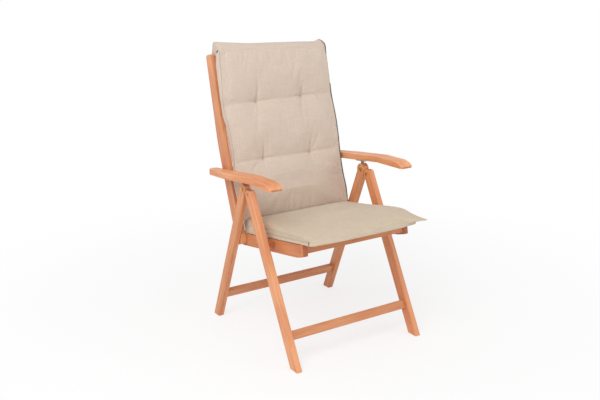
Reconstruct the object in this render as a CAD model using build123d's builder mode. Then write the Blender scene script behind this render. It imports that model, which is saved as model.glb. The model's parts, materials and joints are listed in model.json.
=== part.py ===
from build123d import *
import os
from math import atan2, cos, degrees, hypot, radians, sin, tan

# Reclining garden armchair of hardwood bars, with a one-piece quilted cushion.
# Millimetres and degrees. The sitter faces -Y, X = 0 is the plane of symmetry and the feet
# stand on Z = 0. Side profiles are drawn in the YZ plane, where a heading of 0 points to
# the rear and a heading of 90 points up.

os.makedirs("parts", exist_ok=True)

# Widths, from the plane of symmetry outwards
half_width = 285.0          # to the outer face of a leg
leg_thickness = 23.0
stile_thickness = 22.0      # upright of the backrest, which swings just inside the legs
rail_thickness = 24.0       # side rail of the seat, which lies just inside the uprights
side_play = 0.5             # between faces that swing past each other
leg_inner = half_width - leg_thickness
stile_outer = leg_inner - side_play
stile_inner = stile_outer - stile_thickness
rail_outer = stile_inner - side_play
rail_inner = rail_outer - rail_thickness
leg_middle = half_width - leg_thickness / 2

# Pivots that carry the mechanism
arm_pivot = (52.96, 590.0) # armrest on the head of the rear leg
back_pivot = (137.96, 364.5) # upright and seat rail on the rear leg
pin_fit = 0.05              # radial, bolt in its hole
soft_gap = 0.3              # between a cushion and what it lies on
run_gap = 0.4               # between pieces that move against each other

# Legs
rear_lean = 22.4            # from the vertical
front_lean = 27.9
rear_leg_width = 39.4
front_leg_width = 42.0
head_radius = 24.0          # rounded head of the rear leg
knuckle_radius = 17.5       # rounded ears of the front leg
knuckle_play = 0.6
knuckle_rise = 3.7          # of the leg hinge above the arm pivot, along the rear leg
ear_thickness = 6.5
tongue_play = 0.4
tongue_half = 14.0          # half the height of the neck that carries the tongue
edge_round = 2.5            # worn edges of the wooden bars

# Cross bars between the legs
stretcher_depth = 34.0
stretcher_thickness = 20.0
front_stretcher_height = 108.0
rear_stretcher_height = 104.5

# Bolts and pins
leg_bolt_radius = 3.0
leg_bolt_head = 5.5
arm_bolt_radius = 3.5
arm_bolt_head = 7.0
back_bolt_radius = 4.0
back_bolt_head = 8.0
bolt_head_height = 2.5
nut_height = 4.5
blind_depth = 13.0          # of a bolt or pin that ends inside a leg
rest_pin_radius = 5.0
rest_drop = 200.0           # from the leg hinge down to the pin that carries the seat
peg_radius = 4.0
peg_reach = 11.0            # of the peg past the upright's outer face

# Seat
seat_rise = 9.6             # of the seat towards the front
rail_depth = 48.0
rail_reach = 424.0          # from the back pivot to the tip of the side rail
rail_tip_depth = 42.0
rail_tip_round = 9.0        # of the outer corner at the tip
rail_taper = 46.0
front_rail_depth = 30.0
front_rail_thickness = 20.0
front_rail_inset = 6.0      # of the front rail behind the tips
rear_rail_start = 14.0      # from the back pivot to the rear rail
rear_rail_depth = 34.0
seat_slat_count = 6
seat_slat_width = 46.0
seat_slat_thickness = 12.0
slat_sink = 4.0             # of the seat slats below the top of the rails
cleat_size = 14.0
hook_half = 22.0            # half the length of the hook block
hook_roof = 18.0            # of the block above the pin
hook_play = 0.4
unhook_steps = 6            # of the slot along which the hook leaves the pin
unhook_fold = 3.0           # of the front legs for each of those steps
tip_share = 0.15            # turn of the seat for each degree that the front legs fold
fold_limit = 50.0
dowel_radius = 3.5
dowel_spacing = 14.0
dowel_length = 52.0         # from the outer face of the side rail into the front rail

# Backrest
back_lean = 19.8            # below the knee of the uprights
top_lean = 12.9             # above it
knee_reach = 375.0          # from the back pivot to the knee
knee_radius = 1100.0
stile_reach = 722.0         # from the back pivot to the top
stile_rear = 18.0           # rear edge behind the line of the pivot
stile_front = 32.0          # front edge before it
stile_tip_front = 17.0
stile_tip_round = 12.0
back_slat_count = 5
back_slat_width = 46.0
back_slat_thickness = 10.0
slat_recess = 10.0          # of the back slats behind the front edge of the uprights
back_rail_thickness = 18.0
low_rail_start = 92.0
low_rail_depth = 42.0
top_rail_depth = 60.0
top_rail_inset = 34.0       # of the top rail below the top of the uprights
top_rail_start = stile_reach - top_rail_inset - top_rail_depth

# Armrests
arm_slope = 7.0             # of the armrest down to the rear, with the back at rest
arm_front_slope = 1.4       # of its front part up to the nose
arm_stand = 37.2            # from the arm pivot square to the underside
arm_thickness = 24.0
arm_width = 56.0
arm_tail_width = 36.0
arm_rear_reach = 238.0      # from the arm pivot to the tail
arm_bend_reach = 108.0      # from the arm pivot forward to the bend
arm_nose_reach = 152.0      # from the bend to the nose
nose_length = 56.0
nose_lip = 6.0
arm_corner = 13.0           # rounding of the corners seen from above
arm_edge_round = 4.0
tail_start_share = 0.30     # share of the rear part along which the width stays full
tail_taper_round = 400.0    # of the outer edge where it begins to taper
plate_thickness = 3.0
plate_half = 10.0
plate_length = 62.0
screw_radius = 2.0
screw_head = 4.0
screw_length = 14.0

# Notched rack under the armrest
recline_stops = (-5.0, 0.0, 5.0, 10.0, 15.0)
arm_share = 0.36            # turn of the armrest for each degree of recline
peg_lift = 4.3              # of the peg's line above the armrest's underside
peg_line = 162.0            # along the underside, from the arm pivot to the peg
rack_width = 12.0
rack_roof = 14.5
rack_end = 8.0
notch_depth = 3.4
peg_clearance = 0.5

# Cushion
pad_side_play = 2.5         # between a pad and the uprights
cushion_half = stile_inner - pad_side_play
low_roll = 34.0             # thickness of the back pad's three rolls along its edges
middle_roll = 45.0
top_roll = 42.0
back_pad_crown = 13.0
pad_above_stiles = 30.0     # of the back pad above the uprights
back_pad_top = stile_reach + pad_above_stiles
low_row = 306.0             # of the sewn rows between the rolls, from the back pivot
top_row = 522.0
tuft_depth = 14.0
edge_row_share = 0.2        # share of that depth at the edges
seat_pad_thickness = 60.0
seat_pad_crown = 8.0
seat_pad_front = 523.0      # from the back pivot
pad_slope = 92.0            # length of the seat pad's sloping front
pad_slope_bulge = 3.0
pad_shoulder_drop = 6.0
pad_nose_rise = 24.0        # of its front edge above its underside
pad_undercut = 78.0
pad_end_round = 12.0
pad_lip = 90.0              # from the back pivot to the lips of the fold
crease_heading = 104.0      # from the back pivot to the fold between seat and back
crease_rest = 13.0          # opening of the fold, which closes as the chair is set upright
crease_back_share = 0.5
hood_thickness = 3.0
hood_reach = 190.0          # of the hood down the rear of the back
hood_margin = 4.0           # of the hood past each side of the back pad
hood_half = cushion_half + hood_margin

# One overrun for every cut, and the distance within which places count as the same
overrun = 40.0
tiny = 0.01


def step(start, heading, length, side=0.0):
    """Point reached from start along a heading, then square to its left."""
    turn = radians(heading)
    return (
        start[0] + length * cos(turn) - side * sin(turn),
        start[1] + length * sin(turn) + side * cos(turn),
    )


def at_height(start, heading, side, height):
    """Point of a line beside start, at a height above the floor."""
    beside = step(start, heading, 0, side)
    return step(beside, heading, (height - beside[1]) / sin(radians(heading)))


def place(point, x=0.0):
    """Point of the YZ plane as a point in space."""
    return (x, point[0], point[1])


def keep(piece, name):
    """Label a finished piece and write it."""
    piece.part.label = name
    export_step(piece.part, f"parts/{name}.step")


def keep_pair(piece, name):
    """Write a piece of the sitter's left side, and its mirror image on the right."""
    keep(piece, f"{name}_left")
    with BuildPart() as twin:
        mirror(piece.part, about=Plane.YZ)
    keep(twin, f"{name}_right")


def slab(points, x_start, width):
    """Bar with a straight-sided side profile, from x_start along +X."""
    with BuildPart() as bar:
        with BuildSketch(Plane.YZ.offset(x_start)):
            with BuildLine():
                Polyline(*points, close=True)
            make_face()
        extrude(amount=width)
    return bar


def rod(point, x_start, length, radius):
    """Round rod along X through a point of the side profile."""
    with BuildPart() as shaft:
        with BuildSketch(Plane.YZ.offset(x_start)):
            with Locations(point):
                Circle(radius)
        extrude(amount=length)
    return shaft


def round_corners(sketch, points, radius):
    """Round the corners of an open sketch that lie at the given points."""
    for point in points:
        fillet(sketch.vertices().sort_by_distance((point[0], point[1], 0))[0], radius)


def face_edges(piece, low, high):
    """Edges that bound the two side faces of a piece, at X = low and X = high."""
    return [
        edge for edge in piece.edges()
        if abs(edge.center().X - low) < tiny or abs(edge.center().X - high) < tiny
    ]


def long_edges(piece, length):
    """Edges of a bar that run its whole length."""
    return [edge for edge in piece.edges() if edge.length > length]


# Headings and places that follow from the values above
rear_down = -90 + rear_lean
rear_up = 90 + rear_lean
front_down = -90 - front_lean
hinge_offset = rear_leg_width / 2 + knuckle_radius + knuckle_play
leg_pivot = step(arm_pivot, rear_up, knuckle_rise, hinge_offset)
leg_top = leg_pivot[1] + knuckle_radius
front_edge = front_leg_width - knuckle_radius
rest_pin = step(leg_pivot, front_down, rest_drop, (knuckle_radius - front_edge) / 2)


def seat_point(reach, height):
    """Point of the seat: forward from the back pivot, and square above that line."""
    return step(back_pivot, 180 - seat_rise, reach, -height)


def back_point(reach, forward):
    """Point of the back: up from the back pivot along the bent line, and square before it."""
    low_heading = 90 - back_lean
    top_heading = 90 - top_lean
    knee = step(back_pivot, low_heading, knee_reach)
    if reach < knee_reach:
        return step(back_pivot, low_heading, reach, forward)
    if reach > knee_reach:
        return step(knee, top_heading, reach - knee_reach, forward)
    return step(knee, (low_heading + top_heading) / 2, 0, forward)


def arm_point(reach, height):
    """Point of the armrest's rear part: along its underside from the pivot, and above it."""
    return step(arm_pivot, -arm_slope, reach, arm_stand + height)


peg = arm_point(peg_line, peg_lift)
peg_swing = hypot(peg[0] - back_pivot[0], peg[1] - back_pivot[1])
peg_heading = degrees(atan2(peg[1] - back_pivot[1], peg[0] - back_pivot[0]))


def turned(point, centre, angle):
    """Point turned about a centre."""
    reach = hypot(point[0] - centre[0], point[1] - centre[1])
    heading = degrees(atan2(point[1] - centre[1], point[0] - centre[0]))
    return step(centre, heading + angle, reach)


def peg_in_arm(recline):
    """Place of the peg in the armrest, when the back has reclined and the arm has followed."""
    return turned(turned(peg, back_pivot, -recline), arm_pivot, recline * arm_share)


def pin_in_seat(fold):
    """Place of the rest pin in the seat, when the front legs have folded by an angle."""
    return turned(turned(rest_pin, leg_pivot, fold), back_pivot, fold * tip_share)


def channels(path, radius):
    """Corners of the straight channels that a round pin needs between the points of a path."""
    corners = []
    for start, end in zip(path, path[1:]):
        heading = degrees(atan2(end[1] - start[1], end[0] - start[0]))
        length = hypot(end[0] - start[0], end[1] - start[1])
        corners.append((
            step(start, heading, 0, radius),
            step(start, heading, length, radius),
            step(start, heading, length, -radius),
            step(start, heading, 0, -radius),
        ))
    return corners


# Rear legs
arm_normal = 90 - arm_slope
tongue_thickness = leg_thickness - 2 * ear_thickness - 2 * tongue_play
leg_outline = [
    at_height(arm_pivot, rear_down, rear_leg_width / 2, 0),
    step(arm_pivot, rear_down, 0, rear_leg_width / 2),
    step(arm_pivot, rear_down, 0, -rear_leg_width / 2),
    at_height(arm_pivot, rear_down, -rear_leg_width / 2, 0),
]
neck_reach = hinge_offset
neck_heading = rear_down + 90
neck_outline = [
    step(leg_pivot, neck_heading, 0, tongue_half),
    step(leg_pivot, neck_heading, neck_reach, tongue_half),
    step(leg_pivot, neck_heading, neck_reach, -tongue_half),
    step(leg_pivot, neck_heading, 0, -tongue_half),
]
pocket_width = plate_thickness + 2 * run_gap
pocket_half = plate_half + run_gap + head_radius * sin(radians(recline_stops[-1] * arm_share))
pocket_outline = [
    step(arm_pivot, arm_normal, 0, pocket_half),
    step(arm_pivot, arm_normal, head_radius + overrun, pocket_half),
    step(arm_pivot, arm_normal, head_radius + overrun, -pocket_half),
    step(arm_pivot, arm_normal, 0, -pocket_half),
]
folded_half = knuckle_radius + knuckle_play
folded_leg_outline = [
    step(leg_pivot, rear_down, 0, folded_half),
    step(leg_pivot, rear_down, head_radius, folded_half),
    step(leg_pivot, rear_down, head_radius, -folded_half),
    step(leg_pivot, rear_down, 0, -folded_half),
]
with BuildPart() as rear_leg:
    with BuildSketch(Plane.YZ.offset(leg_inner)):
        with BuildLine():
            Polyline(*leg_outline, close=True)
        make_face()
        with Locations(arm_pivot):
            Circle(head_radius)
    extrude(amount=leg_thickness)
    fillet(long_edges(rear_leg, arm_pivot[1] / 2), edge_round)
    with BuildSketch(Plane.YZ.offset(leg_inner)):
        with BuildLine():
            Polyline(*folded_leg_outline, close=True)
        make_face()
        with Locations(leg_pivot):
            Circle(knuckle_radius + knuckle_play)
    extrude(amount=leg_thickness, mode=Mode.SUBTRACT)
    with BuildSketch(Plane.YZ.offset(leg_inner + ear_thickness + tongue_play)):
        with BuildLine():
            Polyline(*neck_outline, close=True)
        make_face()
        with Locations(leg_pivot):
            Circle(tongue_half)
        with Locations(leg_pivot):
            Circle(leg_bolt_radius + pin_fit, mode=Mode.SUBTRACT)
    extrude(amount=tongue_thickness)
    with BuildSketch(Plane.YZ.offset(leg_middle - pocket_width / 2)):
        with BuildLine():
            Polyline(*pocket_outline, close=True)
        make_face()
        with Locations(arm_pivot):
            Circle(pocket_half)
    extrude(amount=pocket_width, mode=Mode.SUBTRACT)
    with BuildSketch(Plane.YZ.offset(leg_inner)):
        with Locations(arm_pivot):
            Circle(arm_bolt_radius + pin_fit)
    extrude(amount=leg_thickness, mode=Mode.SUBTRACT)
    with BuildSketch(Plane.YZ.offset(leg_inner)):
        with Locations(back_pivot):
            Circle(back_bolt_radius + pin_fit)
    extrude(amount=blind_depth, mode=Mode.SUBTRACT)
keep_pair(rear_leg, "rear_leg")

# Front legs
slot_width = tongue_thickness + 2 * tongue_play
slot_radius = hypot(knuckle_radius, tongue_half) + tongue_play
front_outline = [
    step(leg_pivot, front_down, 0, knuckle_radius),
    at_height(leg_pivot, front_down, knuckle_radius, 0),
    at_height(leg_pivot, front_down, -front_edge, 0),
    at_height(leg_pivot, front_down, -front_edge, leg_top),
    (leg_pivot[0], leg_top),
    leg_pivot,
]
with BuildPart() as front_leg:
    with BuildSketch(Plane.YZ.offset(leg_inner)):
        with BuildLine():
            Polyline(*front_outline, close=True)
        make_face()
        with Locations(leg_pivot):
            Circle(knuckle_radius)
    extrude(amount=leg_thickness)
    fillet(long_edges(front_leg, leg_top / 2), edge_round)
    with BuildSketch(Plane.YZ.offset(leg_middle - slot_width / 2)):
        with Locations(leg_pivot):
            Circle(slot_radius)
    extrude(amount=slot_width, mode=Mode.SUBTRACT)
    with BuildSketch(Plane.YZ.offset(leg_inner)):
        with Locations(leg_pivot):
            Circle(leg_bolt_radius + pin_fit)
    extrude(amount=leg_thickness, mode=Mode.SUBTRACT)
    with BuildSketch(Plane.YZ.offset(leg_inner)):
        with Locations(rest_pin):
            Circle(rest_pin_radius + pin_fit)
    extrude(amount=blind_depth, mode=Mode.SUBTRACT)
keep_pair(front_leg, "front_leg")


def stretcher(start, heading, side, height):
    """Cross bar between two legs, square to them and centred in their depth."""
    centre = at_height(start, heading, side, height)
    corners = [
        step(centre, heading, along * stretcher_depth / 2, across * stretcher_thickness / 2)
        for along, across in ((-1, -1), (1, -1), (1, 1), (-1, 1))
    ]
    bar = slab(corners, -leg_inner, 2 * leg_inner)
    with bar:
        fillet(long_edges(bar, leg_inner), edge_round)
    return bar


front_side = (knuckle_radius - front_edge) / 2
keep(stretcher(leg_pivot, front_down, front_side, front_stretcher_height), "front_stretcher")
keep(stretcher(arm_pivot, rear_down, 0, rear_stretcher_height), "rear_stretcher")


# Bolts, one of each kind on either side
def pair_of_bolts(point, x_start, x_end, radius, head, head_start, nut_start=None):
    """Two mirrored bolts with a domed head at head_start and, where given, a nut."""
    with BuildPart() as bolts:
        with BuildSketch(Plane.YZ.offset(x_start)):
            with Locations(point):
                Circle(radius)
        extrude(amount=x_end - x_start)
        with BuildSketch(Plane.YZ.offset(head_start)):
            with Locations(point):
                Circle(head)
        extrude(amount=bolt_head_height)
        if nut_start is not None:
            with BuildSketch(Plane.YZ.offset(nut_start)):
                with Locations(point):
                    RegularPolygon(head, 6)
            extrude(amount=nut_height)
        mirror(about=Plane.YZ)
    return bolts


keep(
    pair_of_bolts(leg_pivot, leg_inner, half_width, leg_bolt_radius, leg_bolt_head, half_width,
                  leg_inner - nut_height),
    "leg_hinge_bolts",
)
keep(
    pair_of_bolts(arm_pivot, leg_inner, half_width, arm_bolt_radius, arm_bolt_head, half_width,
                  leg_inner - nut_height),
    "arm_pivot_bolts",
)
back_bolt_head_start = rail_inner - run_gap - bolt_head_height
keep(
    pair_of_bolts(back_pivot, back_bolt_head_start, leg_inner + blind_depth, back_bolt_radius,
                  back_bolt_head, back_bolt_head_start),
    "back_pivot_bolts",
)
pin_start = rail_outer + side_play
rest_rod = rod(rest_pin, pin_start, leg_inner + blind_depth - pin_start, rest_pin_radius)
keep_pair(rest_rod, "seat_rest_pin")

# Side rails of the seat, pinned to the front rail by dowels that end flush outside
rail_half = rail_depth / 2
slat_top = rail_half - slat_sink
slat_bottom = slat_top - seat_slat_thickness
front_rail_end = rail_reach - front_rail_inset
front_rail_start = front_rail_end - front_rail_thickness
front_rail_middle = (front_rail_start + front_rail_end) / 2


def dowel_rods(radius):
    """Two dowels at either end of the front rail."""
    with BuildPart() as rods:
        with BuildSketch(Plane.YZ.offset(rail_outer - dowel_length)):
            for side in (-1, 1):
                middle = slat_top - front_rail_depth / 2 + side * dowel_spacing / 2
                with Locations(seat_point(front_rail_middle, middle)):
                    Circle(radius)
        extrude(amount=dowel_length)
        mirror(about=Plane.YZ)
    return rods


tip_top = seat_point(rail_reach, rail_half)
tip_middle = seat_point(rail_reach, rail_half - rail_tip_depth / 2)
rail_outline = [
    seat_point(0, rail_half),
    tip_top,
    seat_point(rail_reach, rail_half - rail_tip_depth),
    seat_point(rail_reach - rail_taper, -rail_half),
    seat_point(0, -rail_half),
]
with BuildPart() as seat_rail:
    with BuildSketch(Plane.YZ.offset(rail_inner)):
        with BuildLine():
            Polyline(*rail_outline, close=True)
        make_face()
        with Locations(back_pivot):
            Circle(rail_half)
    extrude(amount=rail_thickness)
    tip_corner = seat_rail.edges().sort_by_distance((rail_outer, *tip_middle))[0]
    fillet(tip_corner, rail_tip_round)
    fillet(long_edges(seat_rail, rail_reach / 2), edge_round)
    with BuildSketch(Plane.YZ.offset(rail_inner)):
        with Locations(back_pivot):
            Circle(back_bolt_radius + pin_fit)
    extrude(amount=rail_thickness, mode=Mode.SUBTRACT)
    add(dowel_rods(dowel_radius + pin_fit).part, mode=Mode.SUBTRACT)
keep_pair(seat_rail, "seat_rail")

# Hook block on the outer face of each side rail, open below towards the rear
pin_reach = (back_pivot[0] - rest_pin[0]) * cos(radians(seat_rise)) + (
    rest_pin[1] - back_pivot[1]
) * sin(radians(seat_rise))
pin_height = (back_pivot[0] - rest_pin[0]) * -sin(radians(seat_rise)) + (
    rest_pin[1] - back_pivot[1]
) * cos(radians(seat_rise))
hook_outline = [
    seat_point(pin_reach - hook_half, pin_height),
    seat_point(pin_reach + hook_half, pin_height),
    seat_point(pin_reach + hook_half, pin_height + hook_roof),
    seat_point(pin_reach - hook_half, pin_height + hook_roof),
]
pin_room = rest_pin_radius + hook_play
pin_path = [pin_in_seat(count * unhook_fold) for count in range(unhook_steps + 1)]
with BuildPart() as seat_hook:
    with BuildSketch(Plane.YZ.offset(rail_outer)):
        with BuildLine():
            Polyline(*hook_outline, close=True)
        make_face()
        with Locations(pin_path):
            Circle(pin_room, mode=Mode.SUBTRACT)
        for corners in channels(pin_path, pin_room):
            with BuildLine():
                Polyline(*corners, close=True)
            make_face(mode=Mode.SUBTRACT)
    extrude(amount=stile_outer - rail_outer)
keep_pair(seat_hook, "seat_hook")


def cross_bar(start, end, low, high, half):
    """Bar across the seat between two reaches and two heights of its line."""
    corners = [seat_point(start, low), seat_point(end, low), seat_point(end, high),
               seat_point(start, high)]
    bar = slab(corners, -half, 2 * half)
    with bar:
        fillet(long_edges(bar, half), edge_round / 2)
    return bar


front_rail = cross_bar(front_rail_start, front_rail_end, slat_top - front_rail_depth, slat_top,
                       rail_inner)
with front_rail:
    add(dowel_rods(dowel_radius + pin_fit).part, mode=Mode.SUBTRACT)
keep(front_rail, "seat_front_rail")
rear_rail_end = rear_rail_start + front_rail_thickness
keep(cross_bar(rear_rail_start, rear_rail_end, slat_top - rear_rail_depth, slat_top,
               rail_inner), "seat_rear_rail")

# Slats of the seat, evenly spaced between the front and the rear rail
slat_field = front_rail_start - rear_rail_end
slat_space = (slat_field - seat_slat_count * seat_slat_width) / (seat_slat_count + 1)
for count in range(seat_slat_count):
    slat_start = rear_rail_end + slat_space + count * (seat_slat_width + slat_space)
    keep(cross_bar(slat_start, slat_start + seat_slat_width, slat_bottom, slat_top, rail_inner),
         f"seat_slat_{count + 1}")

cleat_outline = [
    seat_point(rear_rail_end, slat_bottom - cleat_size),
    seat_point(front_rail_start, slat_bottom - cleat_size),
    seat_point(front_rail_start, slat_bottom),
    seat_point(rear_rail_end, slat_bottom),
]
keep_pair(slab(cleat_outline, rail_inner - cleat_size, cleat_size), "seat_cleat")

keep(dowel_rods(dowel_radius), "seat_rail_dowels")

# Uprights of the back, with a gentle knee
stile_outline = [
    back_point(-stile_rear, -stile_rear),
    back_point(knee_reach, -stile_rear),
    back_point(stile_reach, -stile_rear),
    back_point(stile_reach, stile_tip_front),
    back_point(top_rail_start, stile_front),
    back_point(knee_reach, stile_front),
    back_point(-stile_rear, stile_front),
]
with BuildPart() as back_stile:
    with BuildSketch(Plane.YZ.offset(stile_inner)) as stile_face:
        with BuildLine():
            Polyline(*stile_outline, close=True)
        make_face()
        round_corners(stile_face, stile_outline[2:4], stile_tip_round)
        round_corners(stile_face, (stile_outline[0], stile_outline[6]), stile_rear - side_play)
        round_corners(stile_face, (stile_outline[1], stile_outline[5]), knee_radius)
    extrude(amount=stile_thickness)
    fillet(face_edges(back_stile, stile_inner, stile_outer), edge_round)
    for centre, radius in ((back_pivot, back_bolt_radius), (peg, peg_radius)):
        with BuildSketch(Plane.YZ.offset(stile_inner)):
            with Locations(centre):
                Circle(radius + pin_fit)
        extrude(amount=stile_thickness, mode=Mode.SUBTRACT)
keep_pair(back_stile, "back_stile")

# Pegs that hold the back in the racks of the armrests
keep_pair(rod(peg, stile_inner, stile_thickness + peg_reach, peg_radius), "back_peg")

# Rails and upright slats of the back, between the two stiles
slat_front = stile_front - slat_recess
slat_rear = slat_front - back_slat_thickness
rail_rear = slat_front - back_rail_thickness
low_rail_end = low_rail_start + low_rail_depth
top_rail_end = top_rail_start + top_rail_depth
for name, start, end in (
    ("back_low_rail", low_rail_start, low_rail_end),
    ("back_top_rail", top_rail_start, top_rail_end),
):
    corners = [back_point(start, rail_rear), back_point(end, rail_rear),
               back_point(end, slat_front), back_point(start, slat_front)]
    back_rail = slab(corners, -stile_inner, 2 * stile_inner)
    with back_rail:
        fillet(long_edges(back_rail, stile_inner), edge_round / 2)
    keep(back_rail, name)

slat_outline = [
    back_point(low_rail_end, slat_rear),
    back_point(knee_reach, slat_rear),
    back_point(top_rail_start, slat_rear),
    back_point(top_rail_start, slat_front),
    back_point(knee_reach, slat_front),
    back_point(low_rail_end, slat_front),
]
back_field = 2 * stile_inner
back_space = (back_field - back_slat_count * back_slat_width) / (back_slat_count + 1)
for count in range(back_slat_count):
    slat_side = -stile_inner + back_space + count * (back_slat_width + back_space)
    with BuildPart() as back_slat:
        with BuildSketch(Plane.YZ.offset(slat_side)) as slat_face:
            with BuildLine():
                Polyline(*slat_outline, close=True)
            make_face()
            round_corners(slat_face, (slat_outline[1], slat_outline[4]), knee_radius)
        extrude(amount=back_slat_width)
        fillet(face_edges(back_slat, slat_side, slat_side + back_slat_width), edge_round / 2)
    keep(back_slat, f"back_slat_{count + 1}")


# Armrests
def arm_reach(point):
    """Distance of a point along the underside of the armrest, from the arm pivot."""
    slope = radians(arm_slope)
    return (point[0] - arm_pivot[0]) * cos(slope) - (point[1] - arm_pivot[1]) * sin(slope)


def arm_level(point):
    """Height of a point above the underside of the armrest's rear part, square to it."""
    slope = radians(arm_slope)
    rise = (point[0] - arm_pivot[0]) * sin(slope) + (point[1] - arm_pivot[1]) * cos(slope)
    return rise - arm_stand


def nose_point(reach, height):
    """Point of the armrest's front part: forward from the bend, and above its underside."""
    return step(arm_point(-arm_bend_reach, 0), 180 - arm_front_slope, reach, -height)


def arm_height(point):
    """Height of a point in space above the underside of the armrest, square to it."""
    bend = arm_point(-arm_bend_reach, 0)
    heights = [
        (point.Y - bend[0]) * sin(radians(slope)) + (point.Z - bend[1]) * cos(radians(slope))
        for slope in (arm_slope, arm_front_slope)
    ]
    return max(heights)


bend_heading = 180 - (arm_slope + arm_front_slope) / 2
arm_bend_top = step(arm_point(-arm_bend_reach, 0), bend_heading, 0, -arm_thickness)
nose_tip = nose_point(arm_nose_reach, 0)
arm_outline = [
    nose_point(arm_nose_reach - nose_length, arm_thickness),
    arm_bend_top,
    arm_point(arm_rear_reach, arm_thickness),
    arm_point(arm_rear_reach, 0),
    arm_point(-arm_bend_reach, 0),
    nose_tip,
    (nose_tip[0], nose_tip[1] + nose_lip),
]
nose_y = nose_tip[0]
tail_y = arm_point(arm_rear_reach, arm_thickness)[0]
taper_y = arm_pivot[0] + tail_start_share * (tail_y - arm_pivot[0])
plan_outline = [
    (0, nose_y),
    (arm_width, nose_y),
    (arm_width, taper_y),
    (arm_tail_width, tail_y),
    (0, tail_y),
]
stop_reaches = [arm_reach(peg_in_arm(stop)) for stop in recline_stops]
rack_start = stop_reaches[0] - rack_end
rack_stop = stop_reaches[-1] + rack_end
rebate_outline = [
    arm_point(rack_start, -overrun),
    arm_point(rack_stop, -overrun),
    arm_point(rack_stop, rack_roof),
    arm_point(rack_start, rack_roof),
]
screw_reaches = (-plate_length / 2 + plate_half, plate_length / 2 - plate_half)


def screw_plane(reach, height, across):
    """Plane square to the armrest's underside, at a place across the chair."""
    up = radians(90 - arm_slope)
    return Plane(origin=place(arm_point(reach, height), across), x_dir=(1, 0, 0),
                 z_dir=(0, cos(up), sin(up)))


# Left armrest, drawn with its inner face at X = 0 and then set against the leg
with BuildPart() as arm_shape:
    with BuildSketch(Plane.YZ) as arm_face:
        with BuildLine():
            Polyline(*arm_outline)
            TangentArc(arm_outline[0], arm_outline[-1],
                       tangent=step((0, 0), 180 - arm_front_slope, 1))
        make_face()
    extrude(amount=arm_width)
    with BuildSketch(Plane.XY.offset(arm_pivot[1])) as arm_plan:
        with BuildLine():
            Polyline(*plan_outline, close=True)
        make_face()
        round_corners(arm_plan, (plan_outline[0], plan_outline[1]), arm_corner)
        round_corners(arm_plan, (plan_outline[3], plan_outline[4]), arm_corner)
        round_corners(arm_plan, (plan_outline[2],), tail_taper_round)
    extrude(amount=arm_rear_reach, mode=Mode.INTERSECT)
    rims = [
        edge for edge in arm_shape.edges()
        if arm_height(edge.center()) > nose_lip / 2
        and edge.center().Y < tail_y - arm_corner
        and abs(edge.tangent_at(0.5).Z) < 0.9
        and (abs(edge.tangent_at(0.5).X) < 0.9 or edge.center().Y < nose_y + tiny)
    ]
    fillet(rims, arm_edge_round)
    with BuildSketch(Plane.YZ.offset(-overrun)):
        with BuildLine():
            Polyline(*rebate_outline, close=True)
        make_face()
    extrude(amount=overrun + rack_width + run_gap, mode=Mode.SUBTRACT)
    for reach in screw_reaches:
        with BuildSketch(screw_plane(reach, 0, leg_middle - leg_inner)):
            Circle(screw_radius + pin_fit)
        extrude(amount=screw_length - plate_thickness, mode=Mode.SUBTRACT)
with BuildPart() as armrest:
    with Locations((leg_inner, 0, 0)):
        add(arm_shape.part)
keep_pair(armrest, "armrest")

# Notched rack in the rebate of each armrest: the peg runs just below the teeth
peg_room = peg_radius + peg_clearance
tooth_line = max(arm_level(peg_in_arm(stop)) for stop in recline_stops) + peg_room
with BuildPart() as arm_rack:
    with BuildSketch(Plane.YZ.offset(leg_inner)):
        with BuildLine():
            Polyline(
                arm_point(rack_start, tooth_line),
                arm_point(rack_stop, tooth_line),
                arm_point(rack_stop, rack_roof),
                arm_point(rack_start, rack_roof),
                close=True,
            )
        make_face()
        for stop in recline_stops:
            low_place = peg_in_arm(stop)
            seated = step(low_place, arm_normal, notch_depth)
            with Locations(low_place, seated):
                Circle(peg_room, mode=Mode.SUBTRACT)
            for corners in channels((low_place, seated), peg_room):
                with BuildLine():
                    Polyline(*corners, close=True)
                make_face(mode=Mode.SUBTRACT)
    extrude(amount=rack_width)
keep_pair(arm_rack, "arm_rack")

# Metal plate that carries each armrest on its pivot bolt
with BuildPart() as arm_plate:
    with BuildSketch(Plane.YZ.offset(leg_middle - plate_thickness / 2)):
        with BuildLine():
            Polyline(
                step(arm_pivot, arm_normal, 0, plate_half),
                step(arm_pivot, arm_normal, arm_stand, plate_half),
                step(arm_pivot, arm_normal, arm_stand, -plate_half),
                step(arm_pivot, arm_normal, 0, -plate_half),
                close=True,
            )
        make_face()
        with Locations(arm_pivot):
            Circle(plate_half)
        with Locations(arm_pivot):
            Circle(arm_bolt_radius + pin_fit, mode=Mode.SUBTRACT)
    extrude(amount=plate_thickness)
    with BuildSketch(Plane.YZ.offset(leg_middle - plate_half)):
        with BuildLine():
            Polyline(
                arm_point(-plate_length / 2, -plate_thickness),
                arm_point(plate_length / 2, -plate_thickness),
                arm_point(plate_length / 2, 0),
                arm_point(-plate_length / 2, 0),
                close=True,
            )
        make_face()
    extrude(amount=2 * plate_half)
    for reach in screw_reaches:
        with BuildSketch(screw_plane(reach, -plate_thickness, leg_middle)):
            Circle(screw_radius + pin_fit)
        extrude(amount=plate_thickness, mode=Mode.SUBTRACT)
keep_pair(arm_plate, "arm_plate")

with BuildPart() as plate_screws:
    for reach in screw_reaches:
        with BuildSketch(screw_plane(reach, -plate_thickness, leg_middle)):
            Circle(screw_radius)
        extrude(amount=screw_length)
        with BuildSketch(screw_plane(reach, -plate_thickness - screw_radius, leg_middle)):
            Circle(screw_head)
        extrude(amount=screw_radius)
keep_pair(plate_screws, "arm_plate_screws")


# Cushion: each pad is a loft across the chair, thickest in the middle
def pad_ray(line_heading, heading, height):
    """Reach along a line at which a ray from the back pivot stands at a height above it."""
    return height / tan(radians(abs(line_heading - heading)))


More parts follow.
